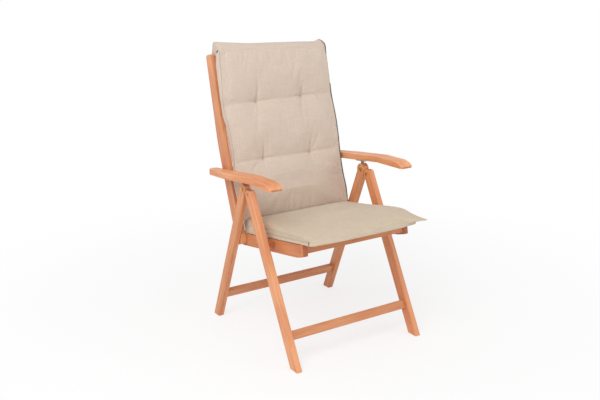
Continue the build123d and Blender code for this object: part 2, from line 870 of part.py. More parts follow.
def lofted_pad(outline_at, bent=False):
    """Pad through five outlines across the chair, each given the crown's share there."""
    with BuildPart() as pad:
        for side_share, crown_share in pad_stations_shares:
            with BuildSketch(Plane.YZ.offset(side_share * cushion_half)) as outline:
                with BuildLine():
                    outline_at(crown_share)
                make_face()
                if bent:
                    knee = back_point(knee_reach, back_pad_rear)
                    round_corners(outline, (knee,), knee_radius - soft_gap)
        loft()
    return pad


pad_stations_shares = ((-1.0, 0.0), (-0.55, 0.8), (0.0, 1.0), (0.55, 0.8), (1.0, 0.0))
back_rest_heading = crease_heading - crease_back_share * crease_rest
seat_rest_heading = back_rest_heading + crease_rest
back_line = 90 - back_lean
seat_line = 180 - seat_rise
back_pad_rear = slat_front + soft_gap
seat_pad_low = rail_half + soft_gap


def back_pad_outline(crown_share):
    """Side view of the back pad: three quilted rolls in front, the bent back behind."""
    crown = crown_share * back_pad_crown
    low_front = back_pad_rear + low_roll + crown
    middle_front = back_pad_rear + middle_roll + crown
    top_front = back_pad_rear + top_roll + crown
    depth = tuft_depth * (edge_row_share + (1 - edge_row_share) * crown_share)
    foot = back_point(pad_ray(back_line, back_rest_heading, back_pad_rear), back_pad_rear)
    lip = step(back_pivot, back_rest_heading, pad_lip)
    lip_reach = pad_lip * cos(radians(back_rest_heading - back_line))
    low = back_point(low_row, (low_front + middle_front) / 2 - depth)
    top = back_point(top_row, (middle_front + top_front) / 2 - depth)
    crest = back_point(back_pad_top - pad_end_round, top_front - pad_end_round)
    Line(foot, lip)
    ThreePointArc(lip, back_point((lip_reach + low_row) / 2, low_front), low)
    ThreePointArc(low, back_point((low_row + top_row) / 2, middle_front), top)
    ThreePointArc(top, back_point((top_row + back_pad_top) / 2, top_front), crest)
    Polyline(crest, back_point(back_pad_top, back_pad_rear + top_roll / 2),
             back_point(back_pad_top, back_pad_rear), back_point(knee_reach, back_pad_rear), foot)


def seat_pad_outline(crown_share):
    """Side view of the seat pad: level on the seat, with a front that slopes to an edge."""
    top = seat_pad_low + seat_pad_thickness + crown_share * seat_pad_crown
    foot = seat_point(pad_ray(seat_line, seat_rest_heading, seat_pad_low), seat_pad_low)
    lip = step(back_pivot, seat_rest_heading, pad_lip)
    lip_reach = pad_lip * cos(radians(seat_line - seat_rest_heading))
    shoulder_reach = seat_pad_front - pad_slope
    shoulder_height = top - pad_shoulder_drop
    nose_height = seat_pad_low + pad_nose_rise
    slope_height = (shoulder_height + nose_height) / 2 + pad_slope_bulge
    shoulder = seat_point(shoulder_reach, shoulder_height)
    nose = seat_point(seat_pad_front, nose_height)
    Line(foot, lip)
    ThreePointArc(lip, seat_point((lip_reach + shoulder_reach) / 2, top), shoulder)
    ThreePointArc(shoulder, seat_point(seat_pad_front - pad_slope / 2, slope_height), nose)
    Polyline(nose, seat_point(seat_pad_front, nose_height - pad_end_round / 2),
             seat_point(seat_pad_front - pad_undercut / 2, seat_pad_low + pad_end_round / 2),
             seat_point(seat_pad_front - pad_undercut, seat_pad_low), foot)


keep(lofted_pad(back_pad_outline, bent=True), "back_cushion")
keep(lofted_pad(seat_pad_outline), "seat_cushion")

# Hood of the cushion: a flap sewn to the top of the back pad, which hangs behind the frame
hood_front = -stile_rear - soft_gap
hood_top = back_pad_top + soft_gap
hood_outline = [
    back_point(back_pad_top - hood_reach, hood_front),
    back_point(back_pad_top - hood_reach, hood_front - hood_thickness),
    back_point(hood_top + hood_thickness, hood_front - hood_thickness),
    back_point(hood_top + hood_thickness, back_pad_rear + top_roll / 2),
    back_point(hood_top, back_pad_rear + top_roll / 2),
    back_point(hood_top, hood_front),
]
keep(slab(hood_outline, -hood_half, 2 * hood_half), "cushion_hood")
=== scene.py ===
# %% [markdown]
# # Reclining garden armchair
# This notebook dresses a CAD armchair for a picture. The wooden bars and the metal fittings come
# ready shaped and in place. What is left to do is their finish, the quilted cushion, the floor,
# the light and the camera. Everything is in metres, the sitter faces -Y and Z is up.

# %% Load the chair
import bpy
import json
import math

import numpy as np
from mathutils import Matrix, Vector
from mathutils.bvhtree import BVHTree


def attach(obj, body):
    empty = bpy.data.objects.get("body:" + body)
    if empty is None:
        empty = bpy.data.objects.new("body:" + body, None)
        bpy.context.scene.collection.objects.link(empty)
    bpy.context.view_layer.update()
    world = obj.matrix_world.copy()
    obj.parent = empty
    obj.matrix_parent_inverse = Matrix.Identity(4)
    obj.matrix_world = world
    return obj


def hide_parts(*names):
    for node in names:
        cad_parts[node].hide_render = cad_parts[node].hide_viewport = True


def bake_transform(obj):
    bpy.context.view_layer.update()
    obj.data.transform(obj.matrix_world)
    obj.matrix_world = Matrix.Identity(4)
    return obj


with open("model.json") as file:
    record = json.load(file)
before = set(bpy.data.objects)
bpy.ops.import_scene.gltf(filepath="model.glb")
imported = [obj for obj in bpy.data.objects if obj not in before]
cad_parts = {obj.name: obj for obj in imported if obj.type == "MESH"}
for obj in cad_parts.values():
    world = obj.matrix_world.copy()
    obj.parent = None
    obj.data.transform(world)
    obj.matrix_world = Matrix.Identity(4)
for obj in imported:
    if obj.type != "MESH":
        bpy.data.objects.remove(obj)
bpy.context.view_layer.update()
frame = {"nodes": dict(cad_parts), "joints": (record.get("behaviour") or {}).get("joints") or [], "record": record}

wood_and_metal = frame["nodes"]

# %% [markdown]
# ## The camera
# A photograph is matched by the place of the camera and by its focal length. A lens could be
# guessed and the camera pushed about until it looks right. Here the place was solved from the
# straight bars of the chair, so it is written as an angle round the chair, a height above the
# horizon and a distance from the point that the camera looks at.

# %% Place the camera
looking_at = Vector((0.0, 0.09996, 0.49244))
round_angle, height_angle, tilt = map(math.radians, (-32.926, 16.425, -0.2307))
distance = 3.3239
away = Vector((
    math.sin(round_angle) * math.cos(height_angle),
    -math.cos(round_angle) * math.cos(height_angle),
    math.sin(height_angle),
))
level_right = Vector((0, 0, 1)).cross(away).normalized()
level_up = away.cross(level_right)
right = math.cos(tilt) * level_right + math.sin(tilt) * level_up
up = math.cos(tilt) * level_up - math.sin(tilt) * level_right
camera = bpy.data.objects.new("camera", bpy.data.cameras.new("camera"))
camera.matrix_world = Matrix.Translation(looking_at + distance * away) @ Matrix(
    (right, up, away)
).transposed().to_4x4()
camera.data.sensor_width = 36.0
camera.data.lens = 50.5
bpy.context.scene.collection.objects.link(camera)
bpy.context.scene.camera = camera
print("the camera stands at", tuple(round(x, 3) for x in camera.location))

# %% [markdown]
# ## Writing a finish as maths
# A material is a graph of nodes. It could be built by clicking, or by one call for each node and
# each link, which is hard to read. A small class that stands for one socket lets the graph be
# written as sums and products: numbers go through Math nodes, colours and vectors through Mix
# and Vector Math, because a Math node would turn a colour grey.

# %% A socket that can be added and multiplied
class Wire:
    """One output socket, on which plain Python maths adds nodes."""

    def __init__(self, nodes, socket):
        self.nodes, self.socket = nodes, socket

    def joined(self, operation, first, second):
        """A node for one sum or product, of the kind that its values need."""
        kinds = [w.socket.type for w in (first, second) if isinstance(w, Wire)]
        if "RGBA" in kinds:
            return self.nodes.put("ShaderNodeMix", {"data_type": "RGBA", "blend_type": operation},
                                  {0: 1.0, 6: first, 7: second}, 2)
        if "VECTOR" in kinds:
            return self.nodes.put("ShaderNodeVectorMath", {"operation": operation},
                                  {0: first, 1: second})
        return self.nodes.put("ShaderNodeMath", {"operation": operation}, {0: first, 1: second})

    def __add__(self, other): return self.joined("ADD", self, other)
    def __radd__(self, other): return self.joined("ADD", other, self)
    def __sub__(self, other): return self.joined("SUBTRACT", self, other)
    def __rsub__(self, other): return self.joined("SUBTRACT", other, self)
    def __mul__(self, other): return self.joined("MULTIPLY", self, other)
    def __rmul__(self, other): return self.joined("MULTIPLY", other, self)


print("maths on a socket:", [name for name in dir(Wire) if name[-5:] in ("add__", "sub__", "mul__")])

# %% [markdown]
# ## One method for any node
# What isn't plain maths, such as a noise or a soft step, needs a node of its own kind. Each could
# get its own lines to make it, set it and link it. One method does this for all: it takes the
# kind, then the settings, because they decide what the sockets mean, and then the values or the
# links of the sockets. It works on a finish as well as on the world round the chair.

# %% Nodes put in one at a time
class Nodes:
    """The nodes of a material or of the world."""

    def __init__(self, owner):
        owner.use_nodes = True
        self.tree = owner.node_tree

    def put(self, kind, settings=(), inputs=(), output=0):
        """Any node: its settings first, then the values or links of its sockets."""
        node = self.tree.nodes.new(kind)
        for key, value in dict(settings).items():
            setattr(node, key, value)
        for key, value in dict(inputs).items():
            self.feed(node.inputs[key], value)
        return Wire(self, node.outputs[output])

    def feed(self, socket, value):
        """Link a wire to a socket, or set the socket to a number or a colour."""
        if isinstance(value, Wire):
            self.tree.links.new(value.socket, socket)
        elif socket.type in ("RGBA", "VECTOR") and not hasattr(value, "__len__"):
            socket.default_value = (value,) * len(socket.default_value)
        elif socket.type == "RGBA" and len(value) == 3:
            socket.default_value = (*value, 1.0)
        else:
            socket.default_value = value

    def seen_directly(self):
        """1 where a ray comes from the camera, from a mirror or through glass, and else 0."""
        rays = [self.put("ShaderNodeLightPath", output=name)
                for name in ("Is Camera Ray", "Is Glossy Ray", "Is Transmission Ray")]
        return self.put("ShaderNodeMath", {"operation": "MINIMUM"},
                        {0: rays[0] + rays[1] + rays[2], 1: 1.0})


print("a kind of node, its settings, its sockets: that is all", Nodes.put.__name__, "needs")

# %% [markdown]
# ## What wood, metal and cloth share
# All three finishes are made from the same few things: the place on the piece, the way that the
# surface faces, noise, a soft step and small bumps. They could be repeated in each finish. Here
# they are short methods, so that a finish further on reads like a recipe. The place is taken
# where the piece was at rest, so the pattern stays on it when it moves.

# %% A finish
class Finish(Nodes):
    """A material with its shader, and the patterns that are fed to it."""

    def __init__(self, name, **constants):
        self.material = bpy.data.materials.new(name)
        super().__init__(self.material)
        self.shader = self.tree.nodes["Principled BSDF"]
        for socket, value in constants.items():
            self.shader.inputs[socket.replace("_", " ")].default_value = value

    def surface(self, name, value):
        """Feed one socket of the shader."""
        self.feed(self.shader.inputs[name], value)

    def place(self):
        """Where a point of the piece was when the chair stood at rest."""
        return self.put("ShaderNodeTexCoord", output=3)

    def facing(self):
        """The direction that the surface faces there."""
        return self.put("ShaderNodeTexCoord", output=1)

    def along(self, wire, direction):
        """How far a vector reaches in a direction."""
        return self.put("ShaderNodeVectorMath", {"operation": "DOT_PRODUCT"},
                        {0: wire, 1: tuple(direction)}, 1)

    def vector(self, x, y, z):
        """Three numbers as one vector."""
        return self.put("ShaderNodeCombineXYZ", (), {0: x, 1: y, 2: z})

    def noise(self, where, scale, detail=2.0, roughness=0.5):
        """A cloudy number around one half. A larger scale gives smaller clouds."""
        return self.put("ShaderNodeTexNoise", (), {"Vector": where, "Scale": scale,
                        "Detail": detail, "Roughness": roughness})

    def between(self, wire, low, high, start=0.0, end=1.0):
        """Stretch a number from low..high to start..end, softly and no further."""
        return self.put("ShaderNodeMapRange", {"interpolation_type": "SMOOTHSTEP"},
                        {"Value": wire, "From Min": low, "From Max": high,
                         "To Min": start, "To Max": end})

    def blend(self, share, first, second):
        """A colour between two colours."""
        return self.put("ShaderNodeMix", {"data_type": "RGBA"}, {0: share, 6: first, 7: second}, 2)

    def relief(self, height, depth):
        """Small bumps, as a depth in metres."""
        self.surface("Normal", self.put("ShaderNodeBump", (), {"Height": height,
                     "Distance": depth, "Strength": 1.0}))


print("a finish can use", [name for name in vars(Finish) if not name.startswith("_")])

# %% [markdown]
# ## Colours as they are seen
# A colour is picked on a screen, but a shader counts light. The same number stands for less light
# than it looks: a grey of one half gives back about a fifth of the light. Each colour is
# therefore written as it is seen and turned into light by the usual curve of screens.

# %% From a seen colour to light
def shade(red, green, blue):
    """A colour as it is seen on a screen, turned into the light values that a shader uses."""
    return tuple(c / 12.92 if c < 0.04045 else ((c + 0.055) / 1.055) ** 2.4
                 for c in (red, green, blue))


print("white is", shade(1, 1, 1), "and mid grey is", shade(0.5, 0.5, 0.5))

# %% [markdown]
# ## Oiled wood
# The bars are sawn from one kind of reddish hardwood, so each shows fine straight grain along its
# length. One image stretched over all bars would run across some of them. Noise that is squeezed
# across the grain and stretched along it gives the streaks, and each direction in the chair
# gets its own copy of the finish.

# %% The figure of the wood
def bar_axes(grain, side):
    """Directions along a bar, across it and through it, each square to the others."""
    along = Vector(grain).normalized()
    through = along.cross(Vector(side).normalized()).normalized()
    return along, through.cross(along), through


def figure(timber, axes):
    """Streaks, broader bands and pores, all stretched along the bar."""
    length, width, depth = (timber.along(timber.place(), way) for way in axes)
    bent = timber.noise(timber.vector(width * 3.0, depth * 3.0, length * 1.6), 2.2, 2.0) * 0.02
    sideways, inwards = width + bent, depth + bent
    streaks = timber.noise(timber.vector(sideways, inwards, length * 0.035), 165.0, 5.0, 0.62)
    bands = timber.noise(timber.vector(sideways, inwards, length * 0.05), 38.0, 3.0, 0.5)
    pores = timber.noise(timber.vector(width, depth, length * 0.05), 720.0, 2.0, 0.5)
    return streaks, bands, pores


print("a bar across the chair has the axes", [tuple(way) for way in bar_axes((1, 0, 0), (0, 0, 1))])

# %% [markdown]
# ## Edges and sawn ends
# Where a hand rubs an edge the oil wears off, and where a saw has cut the fibres they soak it up.
# Both could be painted. But all bars are straight, so the way that the surface faces tells them
# apart: an end faces along the bar, and a rounded edge faces none of its three directions.

# %% Where the wood is worn, and where it was sawn
def worn_places(timber, axes):
    """How much a place is a rounded edge, and how much a sawn end."""
    turns = [timber.put("ShaderNodeMath", {"operation": "ABSOLUTE"},
                        {0: timber.along(timber.facing(), way)}) for way in axes]
    flat = turns[0]
    for turn in turns[1:]:
        flat = timber.put("ShaderNodeMath", {"operation": "MAXIMUM"}, {0: flat, 1: turn})
    return 1 - timber.between(flat, 0.8, 0.97), timber.between(turns[0], 0.8, 0.95)


wood_tones = {
    "light": shade(0.94, 0.68, 0.49), "mid": shade(0.87, 0.57, 0.38),
    "dark": shade(0.66, 0.36, 0.21), "pore": shade(0.55, 0.29, 0.16),
    "warm": shade(0.80, 0.46, 0.27), "rubbed": shade(0.95, 0.70, 0.50),
    "sawn": shade(0.62, 0.34, 0.19),
}
print("the wood is mixed from", len(wood_tones), "tones")

# %% [markdown]
# ## The wood put together
# Every tone lies over the ones before it, the rarest last, as dyes would. A tint on top
# multiplies the colour: it darkens the bars that stand at the rear or in the shade of the
# cushion, which is painted shade. A thin coat gives the soft shine of oil.

# %% Wood along a direction
def wood(name, grain, side=(1, 0, 0), painted_shade=(1.0, 1.0, 1.0)):
    """Oiled hardwood whose grain runs along a direction, on bars whose side faces another."""
    axes = bar_axes(grain, side)
    timber = Finish(name, Specular_IOR_Level=0.42, Coat_Roughness=0.35)
    streaks, bands, pores = figure(timber, axes)
    edge, sawn = worn_places(timber, axes)
    tone = timber.noise(timber.place(), 5.5, 1.0)
    colour = timber.blend(timber.between(bands, 0.3, 0.7), wood_tones["mid"], wood_tones["light"])
    for share, over in (
        (timber.between(streaks, 0.46, 0.76) * 0.62, "dark"),
        (timber.between(pores, 0.6, 0.72) * 0.3, "pore"),
        (timber.between(tone, 0.35, 0.7, 0.0, 0.38), "warm"),
        (edge * 0.35, "rubbed"),
        (sawn * 0.5, "sawn"),
    ):
        colour = timber.blend(share, colour, wood_tones[over])
    # Painted shade: the tint darkens the bars at the rear and under the cushion.
    timber.surface("Base Color", colour * (*painted_shade, 1.0))
    timber.surface("Roughness", timber.between(streaks, 0.3, 0.8, 0.42, 0.58))
    timber.surface("Coat Weight", 0.12)
    timber.relief(streaks * 0.7 + pores * 0.3, 0.00035)
    print(name, "runs along", tuple(round(x, 2) for x in axes[0]))
    return timber.material


# %% [markdown]
# ## Giving each bar its wood
# A bar's grain follows the bar. The leans of the legs and of the back are known from the
# chair's own drawing, so they are written once here and used for the finishes and, further on,
# for the shape of the cushion.

# %% The chair's leans, and a wood for each kind of bar
rear_lean, front_lean = math.radians(22.4), math.radians(27.9)
low_lean, top_lean = math.radians(19.8), math.radians(12.9)
seat_rise, arm_slope = math.radians(9.6), math.radians(7.0)
knee_start, knee_end = 0.309, 0.441
# The rear legs, cross bars, seat rails and uprights get a darker tint: painted shade.
woods = {
    "rear_leg": wood("wood_rear_legs", (0, -math.sin(rear_lean), math.cos(rear_lean)),
                     painted_shade=(0.88, 0.85, 0.83)),
    "front_leg": wood("wood_front_legs", (0, math.sin(front_lean), math.cos(front_lean))),
    "across": wood("wood_cross_bars", (1, 0, 0), (0, 0, 1), (0.84, 0.80, 0.77)),
    "seat": wood("wood_seat_rails", (0, -math.cos(seat_rise), math.sin(seat_rise)),
                 painted_shade=(0.78, 0.64, 0.55)),
    "back": wood("wood_uprights", (0, math.sin(0.5 * (low_lean + top_lean)),
                                   math.cos(0.5 * (low_lean + top_lean))),
                 painted_shade=(0.88, 0.85, 0.83)),
    "armrest": wood("wood_armrests", (0, -math.cos(arm_slope), math.sin(arm_slope))),
}
print("the chair needs", len(woods), "woods")

# %% [markdown]
# ## Metal fittings
# The bolts are brass that has dulled a little, the pins and plates are plain steel, and the
# racks are dark. Real metal is never one even tone: soft smudges in the roughness break up its
# reflections, and that is enough on pieces this small.

# %% Brass, steel and the dark racks
def metal(name, colour, dull, roughness, shine=1.0):
    """Metal with smudges that change how sharply it reflects."""
    ware = Finish(name, Metallic=shine)
    smudge = ware.noise(ware.place(), 260.0, 3.0)
    ware.surface("Base Color", ware.blend(ware.between(smudge, 0.35, 0.7), colour, dull))
    ware.surface("Roughness", ware.between(smudge, 0.3, 0.7, roughness, roughness + 0.2))
    ware.relief(smudge, 0.00008)
    return ware.material


brass = metal("brass", shade(0.86, 0.70, 0.42), shade(0.66, 0.50, 0.28), 0.25)
steel = metal("steel", shade(0.72, 0.72, 0.72), shade(0.56, 0.56, 0.55), 0.28)
rack_metal = metal("rack_metal", shade(0.34, 0.30, 0.27), shade(0.24, 0.21, 0.19), 0.45, 0.6)
finish_of_slot = {"brass_fittings": brass, "steel_fittings": steel, "rack_metal": rack_metal}
print("metal finishes:", sorted(finish_of_slot))

# %% [markdown]
# ## Every part gets its finish
# Each part of the chair comes with one empty slot for a material, and with a note of what it is
# made of. So the finishes can be handed out in one loop: a metal by that note, and a wood by the
# part's name. Nothing else of the part is changed.

# %% Hand out the finishes
def wood_of(node):
    """The name of the wood that a bar is made of."""
    if node.startswith(("rear_leg", "front_leg", "armrest")):
        return node.rsplit("_", 1)[0]
    if node.startswith(("seat_rail_left", "seat_rail_right", "seat_cleat", "seat_hook")):
        return "seat"
    if node.startswith(("back_stile", "back_slat")):
        return "back"
    return "across"


slot_of_node = {row["node"]: row["material_slot"] for row in frame["record"]["subparts"]}
for node, part in wood_and_metal.items():
    finish = finish_of_slot.get(slot_of_node[node]) or woods[wood_of(node)]
    part.data.materials.clear()
    part.data.materials.append(finish)
print("finishes given to", len(wood_and_metal), "parts")

# %% [markdown]
# ## Beige cloth
# The cover is a plain weave of slightly uneven yarn. Up close its threads go over and under each
# other, and from afar only soft slubs and a little mottling are left. Both are made from the
# place on the pad, measured across it and along it, so the threads keep straight without an
# unwrapped texture. A sheen makes the cloth paler where it turns away. The seat's cloth is the
# same cloth painted a little darker and greyer than the back's, which is painted shade. Tinted
# darker, the same cloth serves for the seams as painted shade along them, and nearly black for the dark lines.

# %% Cloth with threads along a direction
weave = 0.0016


def cloth(name, lengthways, pale_and_deep, tint=1.0):
    """Woven cover whose warp runs along a direction, with the colours of its pale and deep yarn."""
    lengthways = Vector(lengthways).normalized()
    upward = lengthways.cross(Vector((1, 0, 0))).normalized()
    cover = Finish(name, Sheen_Weight=0.22, Sheen_Roughness=0.45, Specular_IOR_Level=0.18)
    where = cover.place()
    long_way = cover.along(where, lengthways)
    raised = cover.along(where, upward)
    across = cover.along(where, (1, 0, 0)) + raised
    warp = cover.noise(cover.vector(across, raised * 0.2, long_way * 0.03), 760.0, 3.0, 0.6)
    weft = cover.noise(cover.vector(across * 0.03, raised * 0.2, long_way), 760.0, 3.0, 0.6)
    mottle = cover.noise(where, 14.0, 3.0)
    pale, deep = pale_and_deep
    threads = warp * 0.5 + weft * 0.5
    colour = cover.blend(cover.between(threads, 0.36, 0.64), shade(*deep), shade(*pale))
    worn = [0.94 * share for share in pale]
    colour = cover.blend(cover.between(mottle, 0.35, 0.7, 0.0, 0.3), colour, shade(*worn))
    if tint < 1.0:
        colour = colour * (tint, tint, tint, 1.0)
    cover.surface("Base Color", colour)
    cover.surface("Roughness", cover.between(threads, 0.3, 0.7, 0.82, 0.95))
    cross = [cover.put("ShaderNodeMath", {"operation": "SINE"}, {0: way * (2 * math.pi / weave)})
             for way in (across, long_way)]
    cover.relief(cross[0] * cross[1] * 0.35 + threads, 0.0004)
    print(name, "is woven along", tuple(round(x, 2) for x in lengthways))
    return cover.material


print("two threads of the weave are", weave, "m apart")

# %% The cushion's cloths
back_yarn = ((0.872, 0.802, 0.742), (0.815, 0.743, 0.680))
# The seat's yarn is the back's, painted a little darker and greyer: painted shade.
seat_yarn_painted_shade = ((0.842, 0.775, 0.685), (0.783, 0.713, 0.622))
up_the_back = (0, math.sin(0.28), math.cos(0.28))
back_cloth = cloth("cloth_back", up_the_back, back_yarn)
seat_cloth = cloth("cloth_seat", (0, -math.cos(seat_rise), math.sin(seat_rise)), seat_yarn_painted_shade)
# The seams' cloth is tinted darker, which is painted shade along the seams.
welt_with_painted_shade = cloth("cloth_seams", up_the_back, back_yarn, 0.75)
# Nearly black, for the dark lines at the edges; on the hood's left side such a line is painted shade.
dark_line_and_painted_shade = cloth("overlocked_edge", up_the_back, back_yarn, 0.14)

# %% [markdown]
# ## The lines that the cushion follows
# A pad that lies on a bent back is easier to draw when the back is straight. So each point of
# the cushion is written as how far it is across, how far up the back (or along the seat), and
# how far in front of it (or above it). These helpers turn that into a place in the chair. They
# start from the hinge of the back, which the chair's joints give.

# %% From places on the cushion to places in the chair
joints = {joint["name"]: joint for joint in frame["joints"]}
hinge = np.array(joints["recline"]["pos_m"][1:])
crease_heading = math.radians(104.0)
line_end = 0.82


def on_back(reach, forward):
    """(y, z) of points up the back's bent line and in front of it."""
    steps = np.linspace(0.0, line_end, 1641)
    share = np.clip((steps - knee_start) / (knee_end - knee_start), 0, 1)
    lean = low_lean + (top_lean - low_lean) * share
    gap = steps[1] - steps[0]
    rise = np.stack([np.sin(lean), np.cos(lean)], 1)
    line = np.concatenate([[[0, 0]], np.cumsum((rise[1:] + rise[:-1]) / 2 * gap, 0)])
    reach = np.asarray(reach, float)
    y = np.interp(reach, steps, line[:, 0]) + np.minimum(reach, 0) * math.sin(low_lean)
    z = np.interp(reach, steps, line[:, 1]) + np.minimum(reach, 0) * math.cos(low_lean)
    here = np.interp(reach, steps, lean)
    return hinge[0] + y - forward * np.cos(here), hinge[1] + z + forward * np.sin(here)


def on_seat(reach, height):
    """(y, z) of points along the seat's line and above it."""
    return (hinge[0] - reach * math.cos(seat_rise) + height * math.sin(seat_rise),
            hinge[1] + reach * math.sin(seat_rise) + height * math.cos(seat_rise))


print("the back's top is at", on_back(0.722, 0.0), "and the seat's tip at", on_seat(0.437, 0.0))

# %% [markdown]
# ## A closed form to stuff
# Every pad starts as a box whose six sides are grids, bent by a function that says where each
# point of the box goes. It could be a cube with modifiers, but then its edges and tufts would be
# hard to put where the real ones are. The grids share the points along their common edges, so
# the form is closed and can be inflated.

# %% Bend a box of grids
def boxed(name, bend, counts):
    """Closed mesh of a box's grids. bend gives points for arrays u, v, w from 0 to 1."""
    seen, places, faces = {}, [], []

    def index(key):
        if key not in seen:
            seen[key] = len(places)
            places.append([k / n for k, n in zip(key, counts)])
        return seen[key]

    for fixed in range(3):
        first, second = [axis for axis in range(3) if axis != fixed]
        for end in (0, counts[fixed]):
            for i in range(counts[first]):
                for j in range(counts[second]):
                    corners = []
                    for a, b in ((0, 0), (1, 0), (1, 1), (0, 1)):
                        key = [0, 0, 0]
                        key[fixed], key[first], key[second] = end, i + a, j + b
                        corners.append(index(tuple(key)))
                    faces.append(corners if (end > 0) == (fixed != 1) else corners[::-1])
    u, v, w = np.array(places).T
    mesh = bpy.data.meshes.new(name)
    mesh.from_pydata(bend(u, v, w).tolist(), [], faces)
    mesh.update()
    piece = bpy.data.objects.new(name, mesh)
    bpy.context.scene.collection.objects.link(piece)
    print(name, "has", len(places), "points")
    return piece


print("a box of 2 by 2 by 2 cells would have", 3 ** 3 - 1, "points on its sides")

# %% [markdown]
# ## The back pad
# Its front is quilted: two rows of tufts pull it down, and between them it stands up in three
# soft rolls. Its rear lies flat on the slats, and its lower end turns into the fold where back
# and seat meet. Each sewn edge is written as a short table, how far it stands in front of the
# back at some heights, one for each side: a real cushion isn't quite the same left and right.

# %% Measures of the back pad
between_half = 0.2385
pad_half = 0.238
back_rear = 0.0227
lip = 0.0875
tufts = [(-0.105, 0.523), (0.105, 0.527), (-0.112, 0.2935), (0.105, 0.2915)]
rows = (0.525, 0.2925)
edge_reach = (0.00, 0.073, 0.19, 0.28, 0.345, 0.43, 0.516, 0.60, 0.70, 0.74)
edge_right = (0.048, 0.051, 0.0505, 0.060, 0.063, 0.061, 0.054, 0.060, 0.062, 0.062)
edge_left = (0.048, 0.051, 0.0515, 0.0565, 0.060, 0.062, 0.057, 0.064, 0.070, 0.073)
swell_reach = (0.05, 0.13, 0.22, 0.266, 0.303, 0.349, 0.40, 0.433, 0.48, 0.55, 0.60, 0.70, 0.74)
swell_right = (0.2430, 0.2480, 0.2450, 0.2460, 0.2495, 0.2540, 0.2565, 0.2550, 0.2510, 0.2475,
               0.2455, 0.2430, 0.2410)
swell_left = (0.2420, 0.2520, 0.2570, 0.2480, 0.2410, 0.2400, 0.2405, 0.2440, 0.2540, 0.2555,
              0.2555, 0.2540, 0.2455)
ridge_across = (-0.238, -0.159, -0.098, -0.011, 0.110, 0.238)
ridge_reach = (0.7665, 0.7590, 0.7535, 0.7510, 0.7475, 0.7425)
print("the back pad has", len(tufts), "tufts in", len(rows), "rows, and is at most",
      2 * max(swell_right), "m wide")

# %% [markdown]
# ## The outline of the back pad
# Three things bound the pad's front: the ridge over which the hood goes, the top of the front
# panel below it, and the sides. Between the uprights the pad is only as wide as the gap, and in
# front of them it swells over them. One soft step, used everywhere, joins such parts without a
# kink.

# %% Top and sides of the back pad
def eased(x, low, high):
    """0 below low, 1 above high, and a soft slope between them."""
    share = np.clip((np.asarray(x, float) - low) / (high - low), 0, 1)
    return share * share * (3 - 2 * share)


def ridge(x):
    """How far up the hood goes at a place across."""
    return np.interp(x, ridge_across, ridge_reach)


def front_top(x):
    """How far up the front panel goes at a place across."""
    return 0.7285 - 0.030 * np.asarray(x, float)


def side_limit(x, reach, forward):
    """Half the width of the back pad: narrow between the uprights, swollen in front of them."""
    wide = np.where(np.asarray(x) > 0, np.interp(reach, swell_reach, swell_right),
                    np.interp(reach, swell_reach, swell_left))
    swell = (wide - between_half) * (1 - 0.35 * eased(forward, 0.050, 0.068))
    gusset_room = 0.0024 * eased(reach, 0.675, 0.695) * (1 - eased(forward, 0.045, 0.060))
    return between_half + swell * eased(forward, 0.0352, 0.0420) - gusset_room


print("the ridge goes from", float(ridge(-pad_half)), "to", float(ridge(pad_half)), "m up the back")

# %% [markdown]
# ## Rolls between the tufts
# The thread of a tuft pulls the front to the rear, and the stuffing between the rows stands up in
# rolls. The form itself gets these as wide, shallow valleys, each a bell curve. The sharp part of
# a tuft is too fine for the form's grid and comes after the stuffing.

# %% Bend the box into the back pad
def valleys(x, reach):
    """How deep the rows and the tufts draw the stuffing in."""
    inside = np.clip(1.10 - np.abs(x / 0.24), 0, 1) ** 0.5
    deep = np.zeros_like(x)
    for row in rows:
        deep += 0.0048 * inside * np.exp(-((reach - row) / 0.028) ** 2)
    for tuft_x, tuft_reach in tufts:
        deep += 0.0060 * np.exp(-((x - tuft_x) / 0.030) ** 2 - ((reach - tuft_reach) / 0.034) ** 2)
    return deep


def back_bend(u, v, w):
    """The box bent into the back pad: u across, v up the back, w from rear to front."""
    side = 2 * u - 1
    turn = crease_heading - (math.pi / 2 - low_lean)
    foot = back_rear / math.tan(turn)
    low_reach = foot + w * (lip * math.cos(turn) - foot)
    low_front = back_rear + w * (lip * math.sin(turn) - back_rear)
    across = side * pad_half
    rear_top = ridge(across) - 0.0065
    high_reach = rear_top + w * (front_top(across) - rear_top)
    reach = low_reach + v * (high_reach - low_reach)
    edge = (1 - u) * np.interp(reach, edge_reach, edge_left)
    edge = edge + u * np.interp(reach, edge_reach, edge_right)
    crown = 0.0085 * (1 - np.abs(side) ** 2.6) * np.clip((high_reach - reach) / 0.07, 0, 1) ** 0.6
    front = back_rear + w * (edge + crown - valleys(across, reach) - back_rear)
    near = np.clip(1 - v / 0.10, 0, 1) ** 2
    front = front * (1 - near) + low_front * near
    x = side * (side_limit(side, reach, front) - 0.002)
    y, z = on_back(reach, front)
    return np.stack([x, y, z], 1)


back_form = boxed("back_pad", back_bend, (60, 90, 7))

# %% [markdown]
# ## The seat pad
# It lies level on the rails, swells towards its middle, and its front slopes down to a thin
# edge over the front rail. Its rear end turns down into the same fold as the back pad's, so the
# two look like one cushion that is bent there. The edge nearest the front corner is squashed
# lower than the other, as if someone has just got up.

# %% Measures of the seat pad
seat_low = 0.0246
brim_reach = (0.038, 0.17, 0.21, 0.29, 0.354, 0.39, 0.417, 0.470, 0.500)
brim_left = (0.0780, 0.0790, 0.0785, 0.0700, 0.0640, 0.0610, 0.0570, 0.0470, 0.0430)
brim_right = (0.0760, 0.0750, 0.0755, 0.0775, 0.0790, 0.0775, 0.0745, 0.0665, 0.0560)
print("the seat pad's brim is between", min(brim_left), "and", max(brim_right), "m high")

